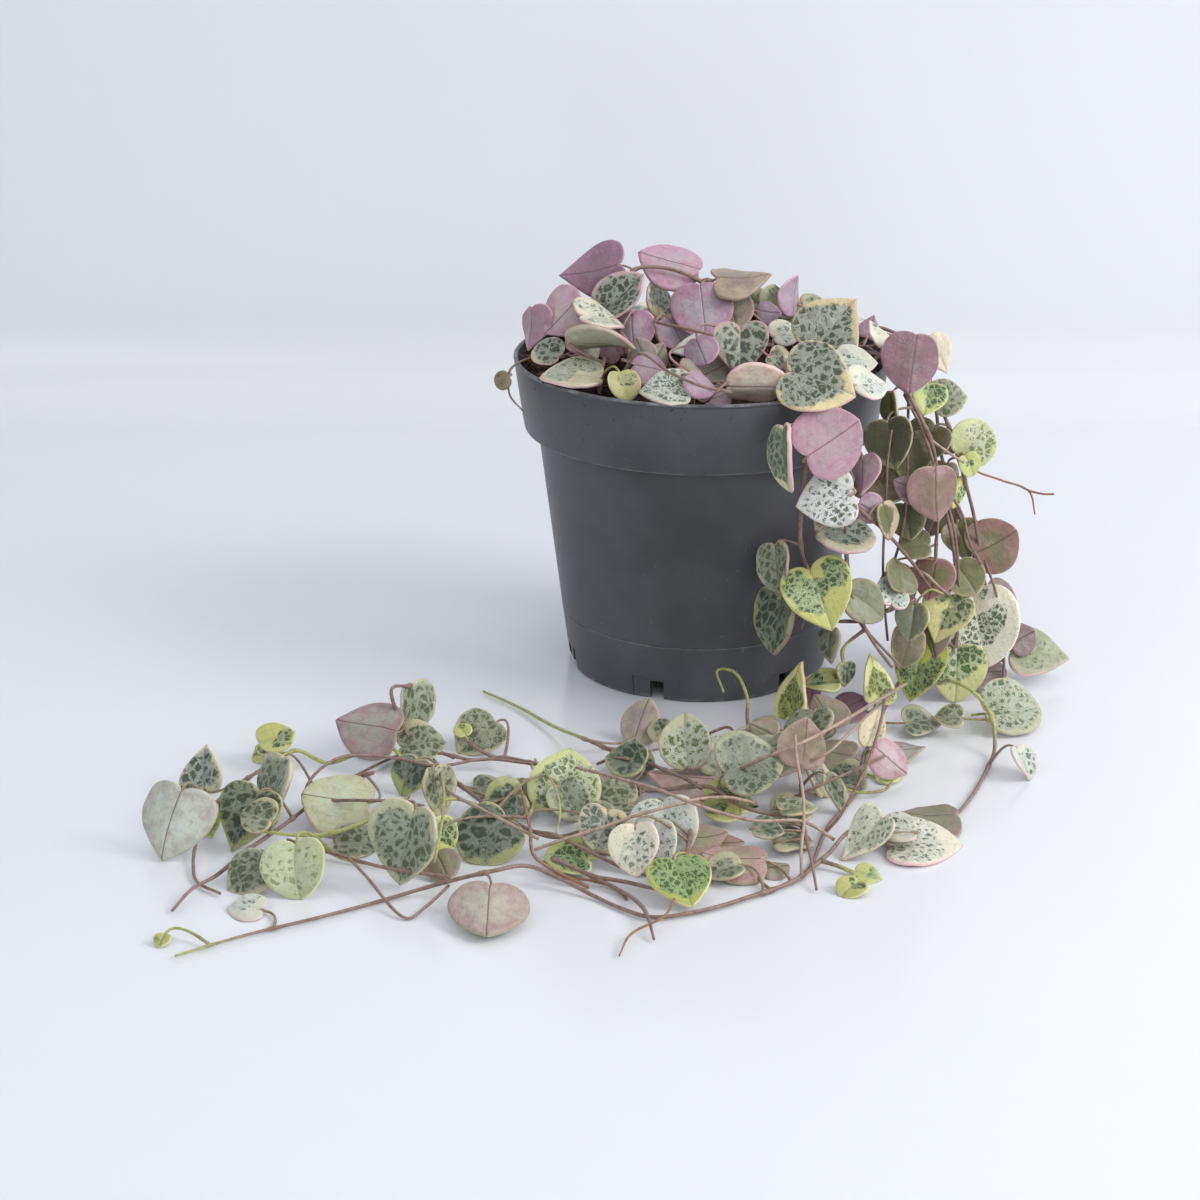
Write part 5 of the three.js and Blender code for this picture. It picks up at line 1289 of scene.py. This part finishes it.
# the stalk, which bends from the stem to the notch of the leaf
def addPetiole(tubes, strand, leaf, root, young):
    notch = leaf["corners"][0]
    reach = (root - notch).length
    bend = notch - leaf["along"] * (route["petioleBend"] * reach)
    bend.z = max(bend.z, route["petioleLow"])
    end = notch + leaf["along"] * (0.05 * leaf["size"])
    count = max(5, round(reach / stemLook["petioleStep"]))
    group = strand["name"].split("_")[0]
    far = blendTone(tone(*petioleTones.get(group, petioleTones["trail"])), tone(*stemLook["young"]), young)
    near = blendTone(tone(*stemLook["mauve"]), tone(*stemLook["young"]), 0.6 * young)
    centres, radii, tones = [], [], []
    for i in range(count + 1):
        t = i / count
        radius = lerp(stemLook["petioleRadius"], stemLook["petioleEnd"], ease(0, 0.5, t))
        centres.append(root * (1 - t) ** 2 + bend * (2 * t * (1 - t)) + notch * t ** 2)
        radii.append(radius * (1 + 0.35 * ease(0.85, 1, t)))
        tones.append(blendTone(near, far, ease(0, 0.6, t)))
    radii.append(stemLook["petioleEnd"] * 0.7)
    addTube(tubes, centres + [end], radii, tones + [far], stemLook["petioleSides"])


slots = {node["node"]: node["material_slot"] for node in frame["record"]["subparts"]}


def routeStrand(name, stems, leaves):
    strand = {"name": name, "leaves": leaves, "lines": [], "roots": [], "corners": []}
    own = []
    for stem in stems:
        points = [Vector(p) for p in stem]
        if strand["lines"]:
            points[0] = rootOf(strand, points[0], Vector(), 0).copy()
            strand["roots"].append(points[0].copy())
        corners, steps, low = layStem(points, name)
        strand["lines"].append(middleLine(corners, steps))
        strand["corners"].append(corners)
        own += low
    laid.extend(own)
    return strand


def packedCorners(packed):
    tree = kdtree.KDTree(len(packed.data.vertices))
    for vertex in packed.data.vertices:
        tree.insert(packed.matrix_world @ vertex.co, vertex.index)
    tree.balance()
    return tree


def dressStrand(strand):
    name = strand["name"]
    tree = packedCorners(frame["nodes"][name])
    leafStore, marks = newStore()
    tubes = newTubes()
    for index, row in enumerate(strand["leaves"]):
        leaf = settledLeaf(row, tree)
        root = rootOf(strand, leaf["corners"][0], leaf["along"], route["leastPetiole"])
        strand["roots"].append(root)
        addLeaf(leafStore, marks, leaf, leafLook(name, index, row[7]))
        addPetiole(tubes, strand, leaf, root, 1.0 if row[7][0] == "y" else 0.15)
    for number, corners in enumerate(strand["corners"]):
        addStem(tubes, strand, number, corners)
    rideOn(addTubes(name + "_stems", tubes), slots[name], name)
    if strand["leaves"]:
        piece = addPiece(name + "_leaves", leafStore["points"], leafStore["faces"], leafSkin, marks)
        rideOn(piece, slots[name], name)


def buildThinStems():
    tubes = newTubes()
    far = tone(*stemLook["brown"])
    for name, radius, points in looseStems:
        centres = stemLine([Vector(p) for p in points])
        near = tone(*stemLook[name])
        radii = [radius * (1 + 0.12 * noise.noise(p * 0.35)) for p in centres]
        tones = [blendTone(near, far, 0.4 * ease(-0.2, 0.5, noise.noise(p * 0.08))) for p in centres]
        addTube(tubes, centres, radii, tones, stemLook["sides"])
    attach(addTubes("thin_stems", tubes), "root")
    print("thin stems done:", len(looseStems))


def buildStrands():
    routed = [routeStrand(*strand) for strand in strands]
    for strand in routed:
        dressStrand(strand)
    print("strands done:", len(routed), "with", sum(len(strand["leaves"]) for strand in routed), "leaves")


buildStrands()
buildThinStems()


pot = {
    "rim": 52.5, "height": 90.5, "band": 20.3, "bandFoot": 49.7, "neck": 45.9, "foot": 37.1, "wall": 1.3,
    "lineHeight": 16.8, "lineDepth": 0.22, "lipLine": 1.1, "lipDepth": 0.14, "sides": 144,
    "notches": 6, "firstNotch": -110, "notchWide": 4.0, "notchHigh": 5.4, "recessWide": 14.0,
    "recessHigh": 6.2, "recessDepth": 1.15, "block": 8.0, "blockRound": 0.5, "sharpFrom": 28,
    "floor": 5.0, "floorThick": 1.5, "ringWide": 2.6, "pad": 11.0,
    "tone": (73, 74, 79), "paleTone": (92, 93, 98), "scuffTone": (140, 141, 144), "roughness": 0.36,
    "dustTone": (140, 138, 134), "wearAndHighlightTone": (158, 159, 162), "soilTone": (58, 40, 30),
    "smearTone": (96, 76, 62), "gloss": 0.5, "bump": 0.35, "bumpHeight": 0.0002,
    # mm up the pot, how wide and how strong: where its edges are pale, partly wear and partly a painted
    # highlight along the edge
    "wearAndHighlight": [(90.3, 0.6, 0.5), (70.4, 0.5, 0.35), (16.8, 0.4, 0.25), (0.6, 0.9, 0.25)],
}


def potRadiusAt(z):
    foot = pot["height"] - pot["band"]
    if z >= foot:
        return lerp(pot["bandFoot"], pot["rim"], (z - foot) / pot["band"])
    return lerp(pot["foot"], pot["neck"], z / foot)


# (radius, height) from the middle of the underside, up the outside and down the inside
def potProfile():
    foot, top, wall = pot["height"] - pot["band"], pot["height"], pot["wall"]
    line, lip = pot["lineHeight"], pot["height"] - pot["lipLine"]
    floorTop = pot["floor"] + pot["floorThick"]
    inner = pot["foot"] - pot["ringWide"]
    below = [
        (0, 0), (pot["pad"], 0), (pot["pad"] + 0.6, pot["floor"]), (inner, pot["floor"]), (inner, 0.3),
        (inner + 0.3, 0),
    ]
    outside = [
        (pot["foot"] - 0.9, 0), (pot["foot"] - 0.35, 0.25), (pot["foot"], 1.0),
        (potRadiusAt(line - 0.35), line - 0.35), (potRadiusAt(line) - pot["lineDepth"], line),
        (potRadiusAt(line + 0.35), line + 0.35), (potRadiusAt(40), 40),
        (potRadiusAt(foot - 1.6), foot - 1.6), (pot["neck"], foot - 0.5), (pot["neck"] + 0.5, foot),
        (pot["bandFoot"] - 0.8, foot), (pot["bandFoot"] - 0.2, foot + 0.25), (pot["bandFoot"], foot + 0.8),
        (potRadiusAt(foot + 10), foot + 10), (potRadiusAt(lip - 0.3), lip - 0.3),
        (potRadiusAt(lip) - pot["lipDepth"], lip), (potRadiusAt(lip + 0.3), lip + 0.25),
        (pot["rim"], top - 0.35), (pot["rim"] - 0.25, top - 0.06), (pot["rim"] - 0.6, top),
    ]
    inside = [
        (pot["rim"] - wall + 0.3, top), (pot["rim"] - wall, top - 0.4), (pot["bandFoot"] - wall, foot + wall),
        (pot["neck"] - wall + 0.2, foot - 0.2), (potRadiusAt(floorTop) - wall, floorTop), (0, floorTop),
    ]
    return below + outside + inside


def cutBlock(body, angle, wide, high, at, tilt):
    bpy.ops.mesh.primitive_cube_add(size=1, location=(0, 0, 0))
    cutter = bpy.context.object
    cutter.scale = (pot["block"] * mm, wide * mm, 2 * high * mm)
    cutter.location = around(at * mm, angle, 0)
    cutter.rotation_euler = (0, tilt, angle)
    bevel = cutter.modifiers.new("soft", "BEVEL")
    bevel.width = pot["blockRound"] * mm
    bevel.segments = 2
    cut = body.modifiers.new("cut", "BOOLEAN")
    cut.operation = "DIFFERENCE"
    cut.object = cutter
    cut.solver = "EXACT"
    bpy.context.view_layer.objects.active = body
    bpy.ops.object.modifier_apply(modifier="cut")
    bpy.data.objects.remove(cutter)


def buildPot():
    sides = pot["sides"]
    points, faces, rows = [], [], []
    for r, z in potProfile():
        count = sides if r else 1
        rows.append([len(points) + k % count for k in range(sides)])
        points += ringOf(r, z, count)
    for a, b in zip(rows, rows[1:]):
        for k in range(sides):
            n = (k + 1) % sides
            ring = [a[k], a[n], b[n], b[k]]
            faces.append(tuple(v for i, v in enumerate(ring) if v not in ring[:i]))
    body = addPiece("nursery_pot", points, faces, potPlastic)
    lean = math.atan2(pot["neck"] - pot["foot"], pot["height"] - pot["band"])
    behind = pot["block"] / 2 - pot["recessDepth"]
    for i in range(pot["notches"]):
        angle = math.radians(pot["firstNotch"] + 60 * i)
        cutBlock(body, angle, pot["notchWide"], pot["notchHigh"], pot["foot"] - 1.5, 0)
        cutBlock(body, angle, pot["recessWide"], pot["recessHigh"], pot["foot"] + behind, lean)
    body.data.polygons.foreach_set("use_smooth", [True] * len(body.data.polygons))
    body.data.set_sharp_from_angle(angle=math.radians(pot["sharpFrom"]))
    rideOn(body, "pot", "pot")
    print("pot done:", len(body.data.polygons), "faces")


def blots(tree, place, scale, low, high):
    return useGroup(tree, mottle, Vector=place, Scale=scale, Low=low, High=high)["Mask"]


def makePotMaterial():
    material, tree, shader = startMaterial("potPlastic")
    place = makeNode(tree, "ShaderNodeNewGeometry").outputs["Position"]
    split = makeNode(tree, "ShaderNodeSeparateXYZ", {0: place}).outputs
    cloud = grain(tree, place, 45.0, 4.0)
    faded = ramp(tree, cloud, 0.35, 0.68, 0.0, 0.5)
    colour = mixTone(tree, faded, tone(*pot["tone"]), tone(*pot["paleTone"]))
    # scuffs: short pale lines, stretched up and down or slanted
    slant = {"Vector": place, "Rotation": (0.2, 0.35, 0.3), "Scale": (1, 1, 0.16)}
    slanted = makeNode(tree, "ShaderNodeMapping", slant).outputs[0]
    scuff = ramp(tree, grain(tree, slanted, 420.0, 5.0, 0.7), 0.62, 0.72)
    rub = times(tree, times(tree, scuff, blots(tree, place, 70.0, 0.5, 0.68)), 0.6)
    colour = mixTone(tree, rub, colour, tone(*pot["scuffTone"]))
    dust = times(tree, blots(tree, place, 1000.0, 0.67, 0.7), blots(tree, place, 38.0, 0.48, 0.6))
    colour = mixTone(tree, times(tree, dust, 0.7), colour, tone(*pot["dustTone"]))
    # pale lines on the lip, the foot of the band and the mould line: partly wear, partly a painted highlight
    # along these edges
    wearAndHighlightBreakup = ramp(tree, grain(tree, place, 160.0, 4.0, 0.7), 0.4, 0.62)
    for z, wide, strength in pot["wearAndHighlight"]:
        off = calc(tree, "ABSOLUTE", minus(tree, split["Z"], z * mm))
        line = ramp(tree, off, 0.3 * wide * mm, wide * mm, strength, 0.0)
        colour = mixTone(tree, times(tree, line, wearAndHighlightBreakup), colour, tone(*pot["wearAndHighlightTone"]))
    # crumbs and smears of soil, mostly under the rim's edge and on the band
    high = ramp(tree, split["Z"], 0.066, 0.072, 0.25, 1.0)
    lip = ramp(tree, split["Z"], 0.084, 0.0905, 0.35, 1.0)
    left = ramp(tree, split["X"], -0.048, -0.03, 1.0, 0.0)
    patchy = calc(tree, "MAXIMUM", lip, times(tree, left, ramp(tree, split["Z"], 0.074, 0.08, 1.0, 0.3)))
    dirt = times(tree, times(tree, blots(tree, place, 560.0, 0.645, 0.675), high), patchy)
    colour = mixTone(tree, dirt, colour, tone(*pot["soilTone"]))
    inside = ramp(tree, split["Z"], 0.0885, 0.0903, 0.0, 0.5)
    smear = times(tree, blots(tree, place, 120.0, 0.55, 0.72), inside)
    colour = mixTone(tree, smear, colour, tone(*pot["smearTone"]))
    rough = ramp(tree, cloud, 0.3, 0.7, pot["roughness"] - 0.03, pot["roughness"] + 0.07)
    height = plus(tree, times(tree, grain(tree, place, 1800.0, 3.0), 0.25), times(tree, dirt, 1.2))
    bumpOn(tree, shader, plus(tree, height, times(tree, cloud, 0.6)), pot["bump"], pot["bumpHeight"])
    feed(tree, shader, {
        "Base Color": colour, "Roughness": plus(tree, rough, times(tree, dirt, 0.3)),
        "Specular IOR Level": pot["gloss"],
    })
    return material


potPlastic = makePotMaterial()
buildPot()


soil = {
    # mm: the height at the rim, how far it is heaped to the left, how rough it is
    "top": 85.5, "heap": 2.2, "edgeRise": 0.2, "rimRise": 0.4, "rough": 0.9, "rings": 60, "sides": 150,
    # the small mound at the left: its height, middle and breadths
    "mound": 5.0, "moundAt": (-41, -8), "moundWide": (8, 15), "moundEnd": (46, 49.6),
    "dark": (38, 26, 20), "brown": (74, 50, 36), "tan": (156, 118, 86), "roughness": 0.95, "gloss": 0.2,
    "bump": 1.0, "bumpHeight": 0.0006,
}


def soilHeight(x, y):
    r, most = math.hypot(x, y), 0.7 * pot["rim"]
    lean = min(1, max(0, -x / pot["rim"]))
    rise = soil["edgeRise"] * ease(0, most, r) + soil["rimRise"] * ease(most, pot["rim"], r)
    at = Vector((x, y, 0))
    bumps = noise.noise(at * 0.16) * 0.5 + noise.noise(at * 0.45) * 0.35 + noise.noise(at * 1.3) * 0.25
    (atX, atY), (wide, long) = soil["moundAt"], soil["moundWide"]
    mound = math.exp(-(((x - atX) / wide) ** 2) - ((y - atY) / long) ** 2) * (1 - ease(*soil["moundEnd"], r))
    height = soil["top"] + rise + soil["heap"] * lean * lean
    return height + soil["mound"] * mound + soil["rough"] * (bumps - 0.25)


def onSoil(x, y, lift=0):
    return Vector((x, y, soilHeight(x, y) + lift))


def makeSoilMaterial():
    material, tree, shader = startMaterial("pottingSoil")
    place = makeNode(tree, "ShaderNodeNewGeometry").outputs["Position"]
    coarse = grain(tree, place, 260.0, 5.0, 0.7)
    fine = grain(tree, place, 1300.0, 4.0, 0.65)
    colour = mixTone(tree, ramp(tree, coarse, 0.4, 0.66), tone(*soil["dark"]), tone(*soil["brown"]))
    colour = mixTone(tree, ramp(tree, fine, 0.66, 0.74, 0.0, 0.8), colour, tone(*soil["tan"]))
    bumpOn(tree, shader, plus(tree, coarse, fine), soil["bump"], soil["bumpHeight"])
    feed(tree, shader, {
        "Base Color": colour, "Roughness": soil["roughness"], "Specular IOR Level": soil["gloss"],
    })
    return material


pottingSoil = makeSoilMaterial()


def buildSoil():
    rings, sides = soil["rings"], soil["sides"]
    outer = pot["rim"] - pot["wall"] - 1.2
    base = pot["floor"] + pot["floorThick"] + 0.4
    foot = pot["height"] - pot["band"]
    points, faces = [onSoil(0, 0) * mm], []
    for i in range(1, rings + 1):
        r = outer * i / rings
        for k in range(sides):
            angle = 2 * math.pi * k / sides
            points.append(onSoil(r * math.cos(angle), r * math.sin(angle)) * mm)
    skirt = [
        (outer - 0.1, 83), (pot["bandFoot"] - 2.2, foot + 2.2), (pot["neck"] - 1.9, foot),
        (potRadiusAt(base) - 2, base),
    ]
    for r, z in skirt:
        points += ringOf(r, z, sides)
    points.append(Vector((0, 0, base)) * mm)
    end = len(points) - 1 - sides
    for k in range(sides):
        n = (k + 1) % sides
        faces += [(0, 1 + k, 1 + n), (end + k, len(points) - 1, end + n)]
        for start in range(1, end, sides):
            a, b = start + k, start + n
            faces.append((a, a + sides, b + sides, b))
    rideOn(addPiece("soil_bed", points, faces, pottingSoil), "soil", "soil")


# a chance spot on the soil
def chanceSpot(reach):
    r = pot["rim"] * reach * math.sqrt(draw.random())
    angle = draw.uniform(0, 2 * math.pi)
    return r * math.cos(angle), r * math.sin(angle)


grainLook = {
    "count": 1700, "reach": 0.955, "size": (0.25, 0.75), "coarseShare": 0.12, "coarser": 1.6, "sunk": 0.3,
    "stretch": [(0.7, 1.5), (0.6, 1.1), (0.5, 0.9)], "uneven": (0.75, 1.15),
}


# a lumpy grain's 14 corners and 24 faces
def makeGrain():
    corners = [(1, 0, 0), (-1, 0, 0), (0, 1, 0), (0, -1, 0), (0, 0, 1), (0, 0, -1)]
    corners += [(0.6 * x, 0.6 * y, 0.5 * z) for z in (1, -1) for x, y in ((1, 1), (-1, 1), (-1, -1), (1, -1))]
    high, low = (0, 6, 2, 7, 1, 8, 3, 9), (0, 10, 2, 11, 1, 12, 3, 13)
    faces = []
    for k in range(8):
        n = (k + 1) % 8
        faces += [(4, high[k], high[n]), (5, low[n], low[k]), (high[k], low[k + 1 - k % 2], high[n])]
    return corners, faces


def buildGrains():
    points, faces = [], []
    corners, sheets = makeGrain()
    for i in range(grainLook["count"]):
        x, y = chanceSpot(grainLook["reach"])
        size = draw.uniform(*grainLook["size"])
        size *= grainLook["coarser"] if draw.random() < grainLook["coarseShare"] else 1
        wide, long, high = [draw.uniform(*limits) for limits in grainLook["stretch"]]
        turn = draw.uniform(0, 2 * math.pi)
        c, s = math.cos(turn), math.sin(turn)
        centre = onSoil(x, y, grainLook["sunk"] * size)
        start = len(points)
        for u, v, w in corners:
            swell = size * draw.uniform(*grainLook["uneven"])
            u, v, w = u * wide * swell, v * long * swell, w * high * swell
            points.append((centre + Vector((u * c - v * s, u * s + v * c, w))) * mm)
        faces += [tuple(start + n for n in sheet) for sheet in sheets]
    rideOn(addPiece("soil_crumbs", points, faces, pottingSoil, smooth=False), "soil", "soil")


fibreLook = {
    "sides": 4, "lying": 80, "reach": 0.94, "length": (2.5, 7), "curve": 1.2, "within": 49.4, "lift": 0.35,
    "arch": 0.9, "unevenArch": (0.4, 1.6), "radii": [0.14, 0.16, 0.16, 0.15, 0.13, 0.09],
    "tones": [(140, 112, 84), (96, 70, 52), (168, 140, 108)],
    # loose ends at the left edge: between which x and y, and how they stand out
    "stray": 90, "strayX": (-47, -36), "strayY": (-24, 8), "strayLength": (2.5, 7.5), "sideways": (-0.7, 0.7),
    "upward": (0.1, 1.3), "droop": (0.1, 0.7), "strayRadii": [0.13, 0.12, 0.1, 0.08, 0.05],
    "strayTones": [(150, 122, 96), (104, 76, 58), (186, 160, 132)],
}


def addFibre(tubes, centres, radii, tones):
    skinTone = tone(*draw.choice(tones))
    addTube(tubes, centres, radii, [skinTone] * len(radii), fibreLook["sides"])


def addLyingFibre(tubes):
    middleX, middleY = chanceSpot(fibreLook["reach"])
    heading = draw.uniform(0, 2 * math.pi)
    length = draw.uniform(*fibreLook["length"])
    steps = len(fibreLook["radii"]) - 1
    centres = []
    for k in range(steps + 1):
        t = k / steps - 0.5
        x = middleX + t * length * math.cos(heading + fibreLook["curve"] * t)
        y = middleY + t * length * math.sin(heading + fibreLook["curve"] * t)
        pull = min(1, fibreLook["within"] / max(1, math.hypot(x, y)))
        arch = fibreLook["arch"] * (0.25 - t * t) * draw.uniform(*fibreLook["unevenArch"])
        centres.append(onSoil(x * pull, y * pull, fibreLook["lift"] + arch))
    addFibre(tubes, centres, fibreLook["radii"], fibreLook["tones"])


def addStrayFibre(tubes):
    x, y = draw.uniform(*fibreLook["strayX"]), draw.uniform(*fibreLook["strayY"])
    spot = onSoil(x, y, -0.3)
    out = Vector((-1, draw.uniform(*fibreLook["sideways"]), draw.uniform(*fibreLook["upward"]))).normalized()
    length = draw.uniform(*fibreLook["strayLength"])
    droop = draw.uniform(*fibreLook["droop"])
    steps = len(fibreLook["strayRadii"]) - 1
    centres = []
    for t in [k / steps for k in range(steps + 1)]:
        centres.append(spot + out * (length * t) + Vector((0, 0, -droop * length * t * t)))
    # one that would cross the rim is left out
    if all(p.z >= pot["height"] + 0.4 or math.hypot(p.x, p.y) <= pot["rim"] - 2.6 for p in centres):
        addFibre(tubes, centres, fibreLook["strayRadii"], fibreLook["strayTones"])


def buildFibres():
    tubes = newTubes()
    for i in range(fibreLook["lying"]):
        addLyingFibre(tubes)
    for i in range(fibreLook["stray"]):
        addStrayFibre(tubes)
    rideOn(addTubes("soil_fibres", tubes), "soil", "soil")


buildSoil()
buildGrains()
buildFibres()
print("soil done:", grainLook["count"], "grains")


studio = {
    "wallAt": 0.262, "cove": 0.035, "coveSteps": 12, "reach": 3.0, "front": 2.2, "wallHigh": 2.4,
    "floorTone": (234, 236, 241), "floorRoughness": 0.16,
    "worldTone": (0.90, 0.94, 1.0), "worldStrength": 0.385,
    "camera": (-28.3, -716.3, 283.9), "lens": 79.23, "sensor": 36, "clip": (0.05, 20),
    # place, aim, size, power, colour and whether it shows in gloss
    "lights": {
        "key": ((0.95, -0.35, 0.75), (0, -0.03, 0.03), (0.6, 0.6), 8.6, (1.0, 0.98, 0.96), True),
        "fill": ((-0.9, -0.9, 0.9), (0, -0.05, 0.03), (1.2, 1.0), 3.2, (0.95, 0.97, 1.0), True),
        "front": ((0.45, -1.5, 0.75), (0.02, -0.05, 0.05), (1.2, 0.9), 6.2, (0.99, 0.99, 1.0), False),
        "top": ((0.1, 0.0, 1.3), (0, -0.05, 0), (1.4, 1.2), 2.4, (1, 1, 1), True),
    },
}


# the sweep is seen through from behind
def makeSweepMaterial():
    material, tree, shader = startMaterial("studioSweep")
    feed(tree, shader, {"Base Color": tone(*studio["floorTone"]), "Roughness": studio["floorRoughness"]})
    back = makeNode(tree, "ShaderNodeNewGeometry").outputs["Backfacing"]
    clear = makeNode(tree, "ShaderNodeBsdfTransparent").outputs[0]
    mixed = makeNode(tree, "ShaderNodeMixShader", {0: back, 1: shader.outputs[0], 2: clear}).outputs[0]
    out = next(node for node in tree.nodes if node.type == "OUTPUT_MATERIAL")
    tree.links.new(mixed, out.inputs["Surface"])
    return material


def buildStage():
    cove, steps = studio["cove"], studio["coveSteps"]
    profile = [(-studio["front"], 0), (-0.5, 0), (0, 0)]
    for k in range(steps + 1):
        angle = math.pi / 2 * k / steps
        profile.append((studio["wallAt"] - cove * (1 - math.sin(angle)), cove * (1 - math.cos(angle))))
    profile.append((studio["wallAt"], studio["wallHigh"]))
    points = [Vector((x, y, z)) for y, z in profile for x in (-studio["reach"], studio["reach"])]
    faces = [(n, n + 1, n + 3, n + 2) for n in range(0, len(points) - 2, 2)]
    addPiece("studio_sweep", points, faces, makeSweepMaterial())


def addLight(name, place, aim, size, power, colour, mirrored):
    lamp = bpy.data.lights.new(name, "AREA")
    lamp.shape = "RECTANGLE"
    lamp.size, lamp.size_y = size
    lamp.energy = power
    lamp.color = colour
    light = bpy.data.objects.new(name, lamp)
    light.location = place
    light.rotation_mode = "QUATERNION"
    light.rotation_quaternion = (Vector(aim) - Vector(place)).to_track_quat("-Z", "Y")
    light.visible_glossy = mirrored
    scene.collection.objects.link(light)


def addCamera():
    camera = bpy.data.cameras.new("camera")
    camera.sensor_width = studio["sensor"]
    camera.lens = studio["lens"]
    camera.clip_start, camera.clip_end = studio["clip"]
    view = bpy.data.objects.new("camera", camera)
    view.location = Vector(studio["camera"]) * mm
    view.rotation_euler = (math.pi / 2 - viewPitch, 0, 0)
    scene.collection.objects.link(view)
    scene.camera = view


def buildStudio():
    buildStage()
    world = bpy.data.worlds.new("studioAir")
    scene.world = world
    world.use_nodes = True
    feed(world.node_tree, world.node_tree.nodes["Background"], {
        "Color": (*studio["worldTone"], 1), "Strength": studio["worldStrength"],
    })
    for name, light in studio["lights"].items():
        addLight(name, *light)
    addCamera()
    scene.view_settings.view_transform = "Standard"


buildStudio()
print("studio done:", len(studio["lights"]), "lights")
